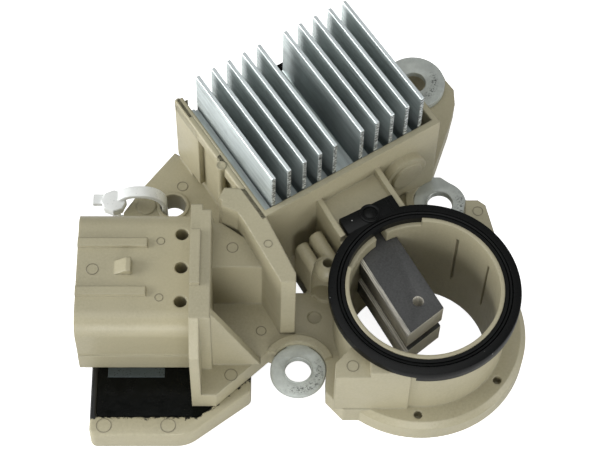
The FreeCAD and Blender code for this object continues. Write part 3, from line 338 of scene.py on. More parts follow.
def heat_sink_metal(name, colour):
    """Make extruded aluminium with sawn ends in front, a painted highlight along the fins' top
    edges and painted shade on their upright faces near the base.
    """
    material = brushed_metal(name, colour, 0.3, BOX_TURN, (5, 60, 5), 0.003)
    nodes, links, shader, plain = open_finish(material)
    vector = object_coordinates(nodes, links)
    top = facing(nodes, links, (0, 0, 1), 0.5, 0.8)
    height = axis_value(nodes, links, vector, "Z")
    level = ramp(nodes, links, height, 43.5 * MM, 44.2 * MM)
    upright = ramp(nodes, links, facing(nodes, links, (0, 0, 1), 0.3, 0.6), 0, 1, 1, 0)
    turned = object_coordinates(nodes, links, (1, 1, 1), (0, 0, BOX_TURN))
    behind = axis_value(nodes, links, turned, "Y")
    # Painted shade: upright faces darken towards the base between the fins, less so towards the
    # rear.
    rise = ramp(nodes, links, height, 30 * MM, 46 * MM, 0.8, 0)
    rise = calculate(nodes, links, "SUBTRACT", rise,
                     ramp(nodes, links, behind, 42 * MM, 62 * MM, 0, 0.3))
    shadow = calculate(nodes, links, "MULTIPLY", rise, upright)
    plain = blend_colours(nodes, links, shadow, plain, SINK_PAINTED_SHADE)
    shader.inputs["Metallic"].default_value = 0.75
    # Painted highlight: up-facing faces at the fins' top level take a pale colour.
    edges = calculate(nodes, links, "MULTIPLY", top, level)
    highlighted = blend_colours(nodes, links, edges, plain, SINK_PAINTED_HIGHLIGHT)
    front = facing(nodes, links, (math.sin(BOX_TURN), -math.cos(BOX_TURN), 0), 0.5, 0.8)
    cuts = noise(nodes, links, object_coordinates(nodes, links, (1, 1, 0.3)), 0.9 * MM, 3, 0.7)
    cuts = ramp(nodes, links, cuts, 0.45, 0.55)
    stripes = blend_colours(nodes, links, cuts, SAWN_DARK, SAWN_BRIGHT)
    links.new(blend_colours(nodes, links, front, highlighted, stripes), shader.inputs["Base Color"])
    return material


def carbon(name, colour, tip):
    """Make pressed carbon whose sides turn paler towards the tip, with painted light on its end
    face and a painted highlight on its slanted bevel.
    """
    material, nodes, links, shader = new_material(name)
    vector = object_coordinates(nodes, links)
    grain = ramp(nodes, links, noise(nodes, links, vector, 0.35 * MM, 4, 0.7), 0.35, 0.75)
    pale = tuple(channel * 1.5 + 0.01 for channel in colour)
    body = blend_colours(nodes, links, grain, colour, pale)
    turned = object_coordinates(nodes, links, (1, 1, 1), (0, 0, BRUSH_TURN))
    along = axis_value(nodes, links, turned, "X")
    # The upright sides turn paler towards the tip, in streaks.
    paler = ramp(nodes, links, along, 11 * MM, -1 * MM)
    streaks = object_coordinates(nodes, links, (3, 0.6, 0.6), (0, 0, BRUSH_TURN))
    streaks = noise(nodes, links, streaks, 2 * MM, 4, 0.6)
    streaks = ramp(nodes, links, streaks, 0.2, 0.6, 0.45, 1)
    paler = calculate(nodes, links, "MULTIPLY", paler, streaks)
    side = ramp(nodes, links, facing(nodes, links, (0, 0, 1), 0.2, 0.4), 0, 1, 1, 0)
    mask = calculate(nodes, links, "MULTIPLY", paler, side)
    # Painted light: the end face takes the pale colour, for the light that falls on it.
    end = facing(nodes, links, tuple(-BRUSH_LINE), 0.5, 0.8)
    mask = calculate(nodes, links, "MAXIMUM", mask, end)
    # Painted highlight: the slanted bevel faces take the pale colour in streaks.
    bevel_highlight = calculate(nodes, links, "MULTIPLY", facing(nodes, links, (0, 0, 1), 0.45, 0.6),
                      facing(nodes, links, (0, 0, 1), 0.92, 0.85))
    highlight_streaks = object_coordinates(nodes, links, (8, 0.25, 0.25), (0, 0, BRUSH_TURN))
    highlight_streaks = noise(nodes, links, highlight_streaks, 0.8 * MM, 3, 0.7)
    highlight_streaks = ramp(nodes, links, highlight_streaks, 0.35, 0.55, 0.35, 1)
    bevel_highlight = calculate(nodes, links, "MULTIPLY", bevel_highlight, highlight_streaks)
    mask = calculate(nodes, links, "MAXIMUM", mask, bevel_highlight)
    links.new(blend_colours(nodes, links, mask, body, tip), shader.inputs["Base Color"])
    links.new(ramp(nodes, links, grain, 0, 1, 0.42, 0.6), shader.inputs["Roughness"])
    shader.inputs["Specular IOR Level"].default_value = 0.4
    bump(nodes, links, shader, noise(nodes, links, vector, 0.25 * MM, 3), 0.05 * MM, 0.4)
    return material


def rubber(name, colour):
    """Make smooth dark rubber with a few specks of white dust."""
    material, nodes, links, shader = new_material(name)
    vector = object_coordinates(nodes, links)
    dust = specks(nodes, links, vector, 1.6 * MM, 0.14 * MM)
    cloud = ramp(nodes, links, noise(nodes, links, vector, 4 * MM, 4, 0.6), 0.3, 0.7)
    tone = blend_colours(nodes, links, cloud, colour, darker(colour, 1.5))
    links.new(blend_colours(nodes, links, dust, tone, DUST), shader.inputs["Base Color"])
    fine = noise(nodes, links, vector, 0.5 * MM, 3)
    links.new(ramp(nodes, links, fine, 0.3, 0.7, 0.26, 0.36), shader.inputs["Roughness"])
    shader.inputs["Specular IOR Level"].default_value = 0.16
    bump(nodes, links, shader, fine, 0.03 * MM, 0.3)
    return material


def resin(name, colour):
    """Make black hardened resin, glossy with shallow dimples."""
    material, nodes, links, shader = new_material(name)
    vector = object_coordinates(nodes, links)
    cloud = ramp(nodes, links, noise(nodes, links, vector, 5 * MM, 5, 0.6), 0.3, 0.7)
    links.new(blend_colours(nodes, links, cloud, colour, darker(colour, 1.8)),
              shader.inputs["Base Color"])
    dimples = noise(nodes, links, vector, 2.2 * MM, 3)
    links.new(ramp(nodes, links, dimples, 0.3, 0.7, 0.12, 0.28), shader.inputs["Roughness"])
    shader.inputs["Specular IOR Level"].default_value = 0.08
    bump(nodes, links, shader, dimples, 0.12 * MM, 0.4)
    return material


def plated_steel(name, colour, centre):
    """Make dull plating, scuffed dark on the right of a bolt hole."""
    material, nodes, links, shader = new_material(name)
    vector = object_coordinates(nodes, links)
    cloud = ramp(nodes, links, noise(nodes, links, vector, 1.5 * MM, 4, 0.6), 0.3, 0.7)
    tone = blend_colours(nodes, links, cloud, colour, darker(colour, 0.8))
    place = (centre[0] * MM, centre[1] * MM, 0)
    round_hole = object_coordinates(nodes, links, (1, 1, 1), (0, 0, 0), place)
    across = axis_value(nodes, links, round_hole, "X")
    along = axis_value(nodes, links, round_hole, "Y")
    away = calculate(nodes, links, "SQRT", calculate(
        nodes, links, "ADD", calculate(nodes, links, "POWER", across, 2),
        calculate(nodes, links, "POWER", along, 2)))
    band = calculate(nodes, links, "MULTIPLY", ramp(nodes, links, away, 3.2 * MM, 4.1 * MM),
                     ramp(nodes, links, away, 5.7 * MM, 5.0 * MM))
    right = ramp(nodes, links, calculate(nodes, links, "SUBTRACT", across, along), 0, 4 * MM)
    pits = ramp(nodes, links, noise(nodes, links, vector, 0.45 * MM, 5, 0.8), 0.5, 0.6)
    scuff = calculate(nodes, links, "MULTIPLY", band, right)
    scuff = calculate(nodes, links, "MULTIPLY", scuff, pits)
    links.new(blend_colours(nodes, links, scuff, tone, SCUFF), shader.inputs["Base Color"])
    shader.inputs["Metallic"].default_value = 0.3
    fine = noise(nodes, links, vector, 0.4 * MM, 3)
    links.new(ramp(nodes, links, fine, 0.3, 0.7, 0.34, 0.55), shader.inputs["Roughness"])
    bump(nodes, links, shader, fine, 0.05 * MM, 0.4)
    return material


def milky_nylon(name, colour):
    """Make milky nylon that lets some light through."""
    material, nodes, links, shader = new_material(name)
    vector = object_coordinates(nodes, links)
    cloud = ramp(nodes, links, noise(nodes, links, vector, 2.5 * MM, 3), 0.3, 0.7)
    links.new(blend_colours(nodes, links, cloud, colour, darker(colour, 0.93)),
              shader.inputs["Base Color"])
    fine = noise(nodes, links, vector, 0.6 * MM, 3)
    links.new(ramp(nodes, links, fine, 0.3, 0.7, 0.25, 0.4), shader.inputs["Roughness"])
    shader.inputs["Transmission Weight"].default_value = 0.1
    shader.inputs["IOR"].default_value = 1.3
    bump(nodes, links, shader, fine, 0.03 * MM, 0.3)
    return material


def plain_solid(name, colour, roughness, metallic=0.0):
    """Make a simple finish with small changes of tone and a fine surface."""
    material, nodes, links, shader = new_material(name)
    vector = object_coordinates(nodes, links)
    cloud = ramp(nodes, links, noise(nodes, links, vector, 2 * MM, 4, 0.6), 0.3, 0.7)
    links.new(blend_colours(nodes, links, cloud, colour, darker(colour, 0.8)),
              shader.inputs["Base Color"])
    fine = noise(nodes, links, vector, 2 * MM / 6, 3)
    links.new(ramp(nodes, links, fine, 0.3, 0.7, roughness - 0.05, roughness + 0.1),
              shader.inputs["Roughness"])
    shader.inputs["Metallic"].default_value = metallic
    bump(nodes, links, shader, fine, 0.04 * MM, 0.4, 0.15 * MM)
    return material


def finish_node(node, material):
    """Give a node of the frame its material."""
    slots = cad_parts[node].data.materials
    slots.clear()
    slots.append(material)


# Mesh helpers

def soft_mesh(node, width, segments=2):
    """Return a merged copy of a node's mesh with its sharp edges rounded."""
    mesh = merged_copy(node)
    bmesh.ops.dissolve_limit(mesh, angle_limit=FLAT_ANGLE, verts=mesh.verts, edges=mesh.edges,
                             use_dissolve_boundaries=False)
    round_edges(mesh, mesh.edges, width, segments)
    return mesh


def round_edges(mesh, edges, width, segments=2, angle=32):
    """Round those of some edges whose faces meet at more than an angle."""
    sharp = [edge for edge in edges
             if len(edge.link_faces) == 2 and edge.calc_face_angle(0) > math.radians(angle)]
    bmesh.ops.bevel(mesh, geom=sharp, offset=width * MM, offset_type="OFFSET", affect="EDGES",
                    segments=segments, profile=0.5, material=-1, clamp_overlap=False)


def add_turned(mesh, centre, profile, steps=96, start=0.0, end=360.0):
    """Add a closed profile of radius and height, in millimetres, spun about an upright axis."""
    across, along = centre
    first = math.radians(start)
    turn = math.radians(end - start)
    whole = abs(end - start) >= 360
    corners = [mesh.verts.new(((across + radius * math.cos(first)) * MM,
                               (along + radius * math.sin(first)) * MM, height * MM))
               for radius, height in profile]
    edges = [mesh.edges.new(pair) for pair in zip(corners[-1:] + corners[:-1], corners)]
    geometry = corners + edges
    if not whole:
        geometry.append(mesh.faces.new(corners))
    bmesh.ops.spin(mesh, geom=geometry, cent=(across * MM, along * MM, 0), axis=(0, 0, 1),
                   angle=turn, steps=steps, use_merge=whole, use_duplicate=False)
    mesh.normal_update()


def add_pin(mesh, centre, radius, low, high, steps=40):
    """Add an upright cylinder about a centre between two levels, in millimetres."""
    made = bmesh.ops.create_cone(mesh, cap_ends=True, segments=steps, radius1=radius * MM,
                                 radius2=radius * MM, depth=(high - low) * MM)["verts"]
    bmesh.ops.translate(mesh, vec=Vector((centre[0], centre[1], (low + high) / 2)) * MM, verts=made)
    return made


def add_bar(mesh, low, high, turn=0.0, centre=(0, 0)):
    """Add a box between two corners in millimetres, turned about an upright axis."""
    made = bmesh.ops.create_cube(mesh, size=1)["verts"]
    size = [(high[axis] - low[axis]) * MM for axis in range(3)]
    middle = Vector([(high[axis] + low[axis]) * MM / 2 for axis in range(3)])
    bmesh.ops.scale(mesh, vec=size, verts=made)
    bmesh.ops.translate(mesh, vec=middle, verts=made)
    bmesh.ops.rotate(mesh, cent=(0, 0, 0), matrix=Matrix.Rotation(turn, 3, "Z"), verts=made)
    bmesh.ops.translate(mesh, vec=(centre[0] * MM, centre[1] * MM, 0), verts=made)
    return made


def add_box_bars(mesh, bars):
    """Add bars that are given in the frame of the heat sink's box."""
    for low, high in bars:
        add_bar(mesh, low, high, BOX_TURN, BOX_CORNER)


def merged_copy(node):
    """Return a copy of a node's mesh with its loose triangles joined."""
    mesh = bmesh.new()
    mesh.from_mesh(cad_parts[node].data)
    bmesh.ops.remove_doubles(mesh, verts=mesh.verts, dist=1e-6)
    return mesh


def carved(mesh, tool):
    """Cut one closed mesh out of another and return what is left."""
    bmesh.ops.recalc_face_normals(tool, faces=tool.faces)
    pieces = [new_piece("carved", mesh), new_piece("carving_tool", tool)]
    cut = pieces[0].modifiers.new("cut", "BOOLEAN")
    cut.operation = "DIFFERENCE"
    cut.solver = "EXACT"
    cut.object = pieces[1]
    shape = pieces[0].evaluated_get(bpy.context.evaluated_depsgraph_get())
    result = bmesh.new()
    result.from_mesh(shape.to_mesh())
    for piece in pieces:
        bpy.data.meshes.remove(piece.data)
    return result


def finish_piece(name, mesh, material, body=HOLDER, nodes=(), smooth=True):
    """Make a piece of a mesh, and let it ride on a body in place of some nodes."""
    bmesh.ops.recalc_face_normals(mesh, faces=mesh.faces)
    piece = new_piece(name, mesh)
    piece.data.materials.append(material)
    if smooth:
        piece.data.shade_smooth()
        piece.data.set_sharp_from_angle(angle=SHARP_ANGLE)
    else:
        piece.data.shade_flat()
    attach(piece, body)
    if nodes:
        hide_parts(*nodes)
    return piece


# Sizes and colours that a user would change

class RegulatorFinish(bpy.types.PropertyGroup):
    """Colours of the regulator."""

    plastic: bpy.props.FloatVectorProperty(
        name="Plastic", description="Colour of the beige moulding", subtype="COLOR",
        default=(0.40, 0.366, 0.245), min=0, max=1)
    aluminium: bpy.props.FloatVectorProperty(
        name="Heat sink", description="Colour of the extruded heat sink", subtype="COLOR",
        default=(0.50, 0.55, 0.54), min=0, max=1)
    rubber: bpy.props.FloatVectorProperty(
        name="Seal", description="Colour of the rubber seal", subtype="COLOR",
        default=(0.0035, 0.0038, 0.0036), min=0, max=1)
    carbon: bpy.props.FloatVectorProperty(
        name="Brushes", description="Colour of the carbon brushes", subtype="COLOR",
        default=(0.055, 0.056, 0.055), min=0, max=1)
    # The pale colour also serves as painted light on the brushes' end faces and as a painted
    # highlight on their bevels.
    carbon_tip: bpy.props.FloatVectorProperty(
        name="Brush tips", description="Colour of the carbon where it is rubbed", subtype="COLOR",
        default=(0.86, 0.83, 0.74), min=0, max=1)
    potting: bpy.props.FloatVectorProperty(
        name="Potting", description="Colour of the hardened compound", subtype="COLOR",
        default=(0.0015, 0.0018, 0.0015), min=0, max=1)
    plated: bpy.props.FloatVectorProperty(
        name="Eyelets", description="Colour of the plated eyelets", subtype="COLOR",
        default=(0.55, 0.585, 0.545), min=0, max=1)
    tie: bpy.props.FloatVectorProperty(
        name="Cable tie", description="Colour of the milky cable tie", subtype="COLOR",
        default=(0.93, 0.95, 0.93), min=0, max=1)


class RegulatorSizes(bpy.types.PropertyGroup):
    """Small sizes of the regulator's surfaces, in millimetres."""

    plastic_edge: bpy.props.FloatProperty(
        name="Plastic edge", description="Rounding of the moulding's edges in millimetres",
        default=0.25, min=0.02)
    metal_edge: bpy.props.FloatProperty(
        name="Metal edge", description="Rounding of the metal pieces' edges in millimetres",
        default=0.12, min=0.02)
    brush_bevel: bpy.props.FloatProperty(
        name="Brush bevel", description="Width of the bevel along the upper brush in millimetres",
        default=0.75, min=0.1)
    mark_line: bpy.props.FloatProperty(
        name="Mark line", description="Thickness of an ejector mark's line in millimetres",
        default=0.16, min=0.02)


class RegulatorStage(bpy.types.PropertyGroup):
    """Light and view of the regulator."""

    lens: bpy.props.FloatProperty(
        name="Lens", description="Focal length of the camera in millimetres",
        default=113.94, min=20)
    world_light: bpy.props.FloatProperty(
        name="World", description="Strength of the even light from all round",
        default=0.3, min=0)
    key_light: bpy.props.FloatProperty(
        name="Key", description="Power of the large lamp above, in watts", default=1.6, min=0)
    right_light: bpy.props.FloatProperty(
        name="Right", description="Power of the lamp on the right, in watts",
        default=1.2, min=0)
    left_light: bpy.props.FloatProperty(
        name="Left", description="Power of the lamp on the left, in watts", default=3.6, min=0)
    front_light: bpy.props.FloatProperty(
        name="Front", description="Power of the low lamp in front, in watts",
        default=2.1, min=0)


# Stage

class REGULATOR_OT_stage(bpy.types.Operator):
    """Set the floor, the lamps and the camera"""

    bl_idname = "regulator.stage"
    bl_label = "Stage"

    def execute(self, context):
        look = context.scene.regulator_stage
        set_floor()
        set_world(context, look.world_light)
        add_lamp("key_lamp", (-0.1, 0.0, 0.75), 0.6, look.key_light)
        add_lamp("right_lamp", (0.6, -0.15, 0.2), 0.4, look.right_light)
        add_lamp("left_lamp", (-0.6, -0.05, 0.17), 0.4, look.left_light)
        add_lamp("front_lamp", (0.0, -0.6, 0.13), 0.4, look.front_light)
        camera_data = bpy.data.cameras.new("camera")
        camera_data.lens = look.lens
        camera_data.sensor_width = 36
        camera_data.clip_start = 0.01
        camera = bpy.data.objects.new("camera", camera_data)
        place = Matrix.Translation(Vector(CAMERA_PLACE) * MM)
        camera.matrix_world = place @ Matrix(CAMERA_AXES).to_4x4()
        context.scene.collection.objects.link(camera)
        context.scene.camera = camera
        context.scene.view_settings.view_transform = "Standard"
        return {"FINISHED"}


def set_floor():
    """Lay a white floor under the part."""
    mesh = bmesh.new()
    bmesh.ops.create_grid(mesh, x_segments=1, y_segments=1, size=3)
    floor = new_piece("floor", mesh)
    material, nodes, links, shader = new_material("floor_white")
    shader.inputs["Base Color"].default_value = (0.82, 0.82, 0.82, 1)
    shader.inputs["Roughness"].default_value = 0.9
    path = nodes.new("ShaderNodeLightPath")
    glow = nodes.new("ShaderNodeEmission")
    glow.inputs["Color"].default_value = (1, 1, 1, 1)
    glow.inputs["Strength"].default_value = 0.9
    total = nodes.new("ShaderNodeAddShader")
    seen = nodes.new("ShaderNodeMixShader")
    output = [node for node in nodes if node.type == "OUTPUT_MATERIAL"][0]
    links.new(glow.outputs[0], total.inputs[0])
    links.new(shader.outputs[0], total.inputs[1])
    links.new(path.outputs["Is Camera Ray"], seen.inputs[0])
    links.new(shader.outputs[0], seen.inputs[1])
    links.new(total.outputs[0], seen.inputs[2])
    links.new(seen.outputs[0], output.inputs["Surface"])
    floor.data.materials.append(material)


def set_world(context, strength):
    """Light the part evenly from all round, before a white backdrop."""
    world = bpy.data.worlds.new("studio")
    world.use_nodes = True
    nodes, links = world.node_tree.nodes, world.node_tree.links
    nodes.clear()
    output = nodes.new("ShaderNodeOutputWorld")
    backdrop = nodes.new("ShaderNodeBackground")
    even = nodes.new("ShaderNodeBackground")
    backdrop.inputs["Strength"].default_value = 1
    backdrop.inputs["Color"].default_value = (1, 1, 1, 1)
    even.inputs["Color"].default_value = (0.97, 0.985, 1, 1)
    even.inputs["Strength"].default_value = strength
    path = nodes.new("ShaderNodeLightPath")
    seen = nodes.new("ShaderNodeMixShader")
    links.new(path.outputs["Is Camera Ray"], seen.inputs[0])
    links.new(even.outputs[0], seen.inputs[1])
    links.new(backdrop.outputs[0], seen.inputs[2])
    links.new(seen.outputs[0], output.inputs["Surface"])
    context.scene.world = world


def add_lamp(name, place, size, power):
    """Hang one square area lamp that faces the part."""
    data = bpy.data.lights.new(name, "AREA")
    data.energy = power
    data.size = size
    lamp = bpy.data.objects.new(name, data)
    lamp.location = place
    aim = Vector(LAMP_TARGET) - Vector(place)
    lamp.rotation_euler = aim.to_track_quat("-Z", "Y").to_euler()
    bpy.context.scene.collection.objects.link(lamp)


def new_piece(name, mesh):
    """Make an object of a finished bmesh."""
    data = bpy.data.meshes.new(name)
    mesh.to_mesh(data)
    mesh.free()
    piece = bpy.data.objects.new(name, data)
    bpy.context.scene.collection.objects.link(piece)
    return piece


# Pieces

class REGULATOR_OT_plastic(bpy.types.Operator):
    """Finish the moulded housing and the module case"""

    bl_idname = "regulator.plastic"
    bl_label = "Plastic mouldings"

    def execute(self, context):
        colours = context.scene.regulator_finish
        edge = context.scene.regulator_sizes.plastic_edge
        beige = beige_plastic("housing_beige", tuple(colours.plastic))
        housing = merged_copy("housing")
        for cut in WALL_CUTS:
            tool = bmesh.new()
            add_box_bars(tool, [cut])
            housing = carved(housing, tool)
        tool = bmesh.new()
        add_pin(tool, PLAIN_POST, 2.3, 12.5, 25.5)
        finish_piece("moulded_housing", carved(housing, tool), beige,
                     nodes=("housing",), smooth=False)
        rim = bmesh.new()
        add_box_bars(rim, RIM_BARS)
        round_edges(rim, rim.edges, edge, 3)
        add_pin(rim, RIM_POST, 0.8, 13, 34)
        add_pin(rim, RIM_POST, 1.0, 33.8, 34.6)
        add_turned(rim, RIM_POST, [(0.8, 34), (1.02, 34), (1.02, 34.7), (0.8, 34.7)], 48)
        finish_piece("box_rim", rim, beige)
        ball = bmesh.new()
        bmesh.ops.create_uvsphere(ball, u_segments=48, v_segments=32, radius=2.8 * MM)
        middle = Vector((*ROUND_POST, ROUND_POST_LEVEL)) * MM
        bmesh.ops.translate(ball, vec=middle, verts=ball.verts)
        bore = bmesh.new()
        add_pin(bore, ROUND_POST, 1.1, 19, 26)
        finish_piece("round_post", carved(ball, bore), beige)
        smeared = case_plastic("case_beige", tuple(colours.plastic), tuple(colours.potting))
        finish_piece("module_tray", soft_mesh("module_case", edge * 2, 3), smeared,
                     nodes=("module_case",))
        return {"FINISHED"}


class REGULATOR_OT_marks(bpy.types.Operator):
    """Ring the moulding with the marks of its ejector pins"""

    bl_idname = "regulator.marks"
    bl_label = "Ejector marks"

    def execute(self, context):
        line = context.scene.regulator_sizes.mark_line
        mesh = bmesh.new()
        for across, along, level, radius in EJECTOR_MARKS:
            inner, outer = radius - line / 2, radius + line / 2
            low, high = level - line, level + line / 3
            add_turned(mesh, (across, along),
                       [(inner, low), (outer, low), (outer, high), (inner, high)], 40)
        # Painted shade: the rings are the moulding's own beige drawn darker, for the shade along
        # each pin mark's seam.
        tone = darker(context.scene.regulator_finish.plastic, 0.62)
        finish_piece("ejector_marks", mesh, beige_plastic("mark_beige", tone))
        return {"FINISHED"}


class REGULATOR_OT_metal(bpy.types.Operator):
    """Finish the heat sink, the eyelets and the conductors"""

    bl_idname = "regulator.metal"
    bl_label = "Metal pieces"

    def execute(self, context):
        colours = context.scene.regulator_finish
        edge = context.scene.regulator_sizes.metal_edge
        sink = soft_mesh("heat_sink", edge, 1)
        add_box_bars(sink, SINK_LIPS)
        finish_piece("extruded_heat_sink", sink,
                     heat_sink_metal("heat_sink_metal", tuple(colours.aluminium)),
                     nodes=("heat_sink",))
        for name, node, raised in (("plated_eyelet_front", "terminal_eyelet_front", True),
                                   ("plated_eyelet_right", "terminal_eyelet_right", True),
                                   ("plated_washer_rear", "terminal_disc_rear", False)):
            centre = BOLT_HOLES[node]
            mesh = soft_mesh(node, edge * 2)
            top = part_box(node)[1][2] / MM
            if raised:
                ring = ((0, -0.5), (0, 0.16), (0.12, 0.26), (0.3, 0.22), (0.42, -0.5))
                add_turned(mesh, centre, [(EYELET_HOLE + out, top + up) for out, up in ring], 64)
            finish_piece(name, mesh, plated_steel(name + "_plating", tuple(colours.plated), centre),
                         nodes=(node,))
        conductor = brushed_metal("conductor_metal", (0.62, 0.52, 0.34), 0.35)
        for node in ("connector_pin_1", "connector_pin_2", "connector_pin_3",
                     "brush_terminal_upper", "brush_terminal_lower"):
            finish_node(node, conductor)
        wire = brushed_metal("spring_wire", (0.45, 0.45, 0.45), 0.3)
        for level in ("upper", "lower"):
            for kind, part, metal, slot in (("coil", "spring", wire, "spring_steel"),
                                            ("braided", "lead", conductor, "conductor_metal")):
                node = "brush_%s_%s" % (part, level)
                piece = finish_piece("%s_%s" % (kind, node), merged_copy(node), metal,
                                     nodes=(node,))
                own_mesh(piece)
        grey = plain_solid("module_plate_grey", (0.06, 0.075, 0.08), 0.3, 0.6)
        finish_node("module_plate", grey)
        return {"FINISHED"}


def seal_mesh():
    """Shape the seal: its lipped ring, its skirt in front and its tab behind with a round nub."""
    base, top = SEAL_BASE, SEAL_TOP
    mesh = bmesh.new()
    add_turned(mesh, (0, 0), [(SEAL_INNER, base), (SEAL_INNER, top - 0.1), (SEAL_INNER + 0.15, top),
                              (SEAL_INNER + 0.75, top), (SEAL_INNER + 0.9, top - 0.28),
                              (SEAL_INNER + 1.05, top), (SEAL_INNER + 1.4, top + 0.03),
                              (SEAL_INNER + 1.55, top - 0.25), (SEAL_INNER + 1.7, top),
                              (SEAL_OUTER - 0.45, top - 0.02), (SEAL_OUTER - 0.12, top - 0.15),
                              (SEAL_OUTER, top - 0.5), (SEAL_OUTER, base)], 144)
    add_turned(mesh, (0, 0), [(SKIRT_INNER, base - 1.4), (SEAL_OUTER - 0.1, base - 1.4),
                              (SEAL_OUTER - 0.02, base + 0.2), (SKIRT_INNER, base + 0.2)],
               40, *SKIRT_SPAN)
    tab = add_bar(mesh, (SKIRT_INNER, -5.1, base + 0.01), (22.2, 7.5, top - 0.01), BRUSH_TURN)
    round_edges(mesh, {edge for vert in tab for edge in vert.link_edges}, 0.25)
    nub = Vector((*SEAL_NUB, 0))
    nub.rotate(Matrix.Rotation(BRUSH_TURN, 3, "Z"))
    add_turned(mesh, nub[:2], [(1.45, top - 0.1), (2.2, top - 0.1), (2.15, top + 0.25),
                               (1.9, top + 0.33), (1.6, top + 0.25)], 48)
    dome = bmesh.ops.create_uvsphere(mesh, u_segments=32, v_segments=16, radius=1.35 * MM)["verts"]
    bmesh.ops.scale(mesh, vec=(1, 1, 0.28), verts=dome)
    bmesh.ops.translate(mesh, vec=(nub.x * MM, nub.y * MM, (top - 0.03) * MM), verts=dome)
    for side in TAB_LINES:
        add_bar(mesh, (18.4, side, top - 0.1), (21.9, side + 0.22, top + 0.07), BRUSH_TURN)
    return mesh


def brush_mesh(node, bevel):
    """Shape a brush: the wide bevel along its top on the left, and small soft edges elsewhere."""
    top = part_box(node)[1][2]
    mesh = merged_copy(node)
    bmesh.ops.dissolve_limit(mesh, angle_limit=FLAT_ANGLE, verts=mesh.verts, edges=mesh.edges)
    across = Vector((-BRUSH_LINE.y, BRUSH_LINE.x, 0))
    side = max(vert.co.dot(across) for vert in mesh.verts)
    wide = [edge for edge in mesh.edges
            if all(abs(vert.co.dot(across) - side) < 1e-5 and vert.co.z > top - 1e-5
                   for vert in edge.verts)]
    bmesh.ops.bevel(mesh, geom=wide, offset=bevel * MM, offset_type="OFFSET", affect="EDGES",
                    segments=1, profile=0.5, material=-1, clamp_overlap=False)
    round_edges(mesh, mesh.edges, 0.12, 2, 40)
    return mesh


class REGULATOR_OT_dark(bpy.types.Operator):
    """Finish the rubber seal, the brushes, the potting and the electronics"""

    bl_idname = "regulator.dark"
    bl_label = "Dark pieces"

    def execute(self, context):
        colours = context.scene.regulator_finish
        finish_piece("rubber_seal", seal_mesh(), rubber("seal_rubber", tuple(colours.rubber)),
                     nodes=("seal_ring",))
        bevel = context.scene.regulator_sizes.brush_bevel
        for level in ("upper", "lower"):
            node = "brush_" + level
            black = carbon(node + "_carbon", tuple(colours.carbon), tuple(colours.carbon_tip))
            finish_piece("carbon_brush_" + level, brush_mesh(node, bevel), black,
                         level + "_brush", (node,))
        black = resin("potting_black", tuple(colours.potting))
        finish_node("potting_compound", black)
        bead = bmesh.new()
        add_box_bars(bead, BEAD_BARS)
        round_edges(bead, bead.edges, 0.4, 3)
        finish_piece("black_bead", bead, black, nodes=("heat_sink_sealant",))
        finish_node("control_board", plain_solid("board_green", (0.03, 0.16, 0.07), 0.4))
        finish_node("regulator_chip", plain_solid("chip_black", (0.02, 0.02, 0.02), 0.5))
        return {"FINISHED"}


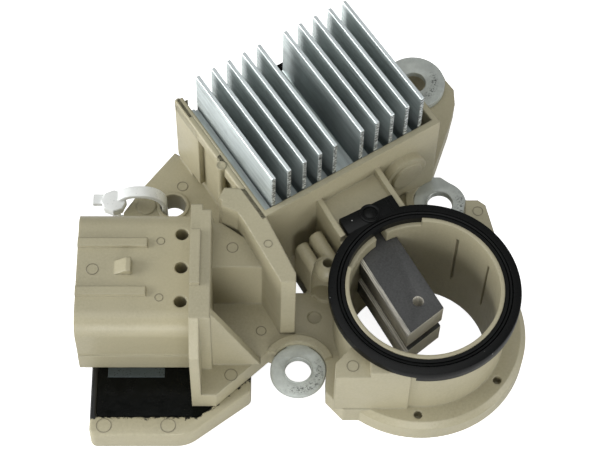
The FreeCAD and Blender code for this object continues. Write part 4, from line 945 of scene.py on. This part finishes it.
class REGULATOR_OT_tie(bpy.types.Operator):
    """Finish the cable tie"""

    bl_idname = "regulator.tie"
    bl_label = "Cable tie"

    def execute(self, context):
        colours = context.scene.regulator_finish
        mesh = bmesh.new()
        bmesh.ops.create_cube(mesh, size=1)
        bmesh.ops.scale(mesh, vec=Vector(TIE_SIZE) * MM, verts=mesh.verts)
        bmesh.ops.translate(mesh, vec=Vector(TIE_MIDDLE) * MM, verts=mesh.verts)
        arch = [edge for edge in mesh.edges
                if all(vert.co.z > TIE_MIDDLE[2] * MM for vert in edge.verts)
                and abs(edge.verts[0].co.x - edge.verts[1].co.x) < MM]
        bmesh.ops.bevel(mesh, geom=arch, offset=TIE_BEND * MM, offset_type="OFFSET",
                        affect="EDGES", segments=14, profile=0.5, material=-1)
        sides = [face for face in mesh.faces if abs(face.normal.y) > 0.9]
        bmesh.ops.inset_region(mesh, faces=sides, thickness=TIE_THICKNESS * MM,
                               use_even_offset=True)
        loops = [edge for face in sides for edge in face.edges]
        bmesh.ops.delete(mesh, geom=sides, context="FACES_ONLY")
        bmesh.ops.bridge_loops(mesh, edges=loops)
        round_edges(mesh, mesh.edges, 0.18, 2, 50)
        head = add_pin(mesh, TIE_HEAD, 2.75, 13.7, 16.0, 8)
        round_edges(mesh, {edge for vert in head for edge in vert.link_edges}, 0.35, 3, 60)
        add_bar(mesh, *TIE_END)
        finish_piece("nylon_tie", mesh, milky_nylon("tie_nylon", tuple(colours.tie)),
                     nodes=("cable_tie",))
        return {"FINISHED"}


# Panel and registration

class REGULATOR_PT_pieces(bpy.types.Panel):
    """Lists the regulator's pieces, finishes and stage"""

    bl_label = "Regulator"
    bl_idname = "REGULATOR_PT_pieces"
    bl_space_type = "VIEW_3D"
    bl_region_type = "UI"
    bl_category = "Regulator"

    def draw(self, context):
        for operator in OPERATORS:
            self.layout.operator(operator.bl_idname)
        for group in (context.scene.regulator_finish, context.scene.regulator_sizes,
                      context.scene.regulator_stage):
            box = self.layout.box()
            for entry in group.__annotations__:
                box.prop(group, entry)


OPERATORS = (REGULATOR_OT_plastic, REGULATOR_OT_marks, REGULATOR_OT_metal, REGULATOR_OT_dark,
             REGULATOR_OT_tie, REGULATOR_OT_stage)
CLASSES = (RegulatorFinish, RegulatorSizes, RegulatorStage, *OPERATORS, REGULATOR_PT_pieces)


def register():
    """Register the classes and give the scene its properties."""
    for item in CLASSES:
        bpy.utils.register_class(item)
    bpy.types.Scene.regulator_finish = bpy.props.PointerProperty(type=RegulatorFinish)
    bpy.types.Scene.regulator_sizes = bpy.props.PointerProperty(type=RegulatorSizes)
    bpy.types.Scene.regulator_stage = bpy.props.PointerProperty(type=RegulatorStage)


def unregister():
    """Take the properties and the classes away."""
    del bpy.types.Scene.regulator_stage
    del bpy.types.Scene.regulator_sizes
    del bpy.types.Scene.regulator_finish
    for item in reversed(CLASSES):
        bpy.utils.unregister_class(item)


def main():
    """Build every piece in order."""
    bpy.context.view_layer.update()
    register()
    for step in (bpy.ops.regulator.plastic, bpy.ops.regulator.marks, bpy.ops.regulator.metal,
                 bpy.ops.regulator.dark, bpy.ops.regulator.tie, bpy.ops.regulator.stage):
        step()


if __name__ == "__main__":
    main()
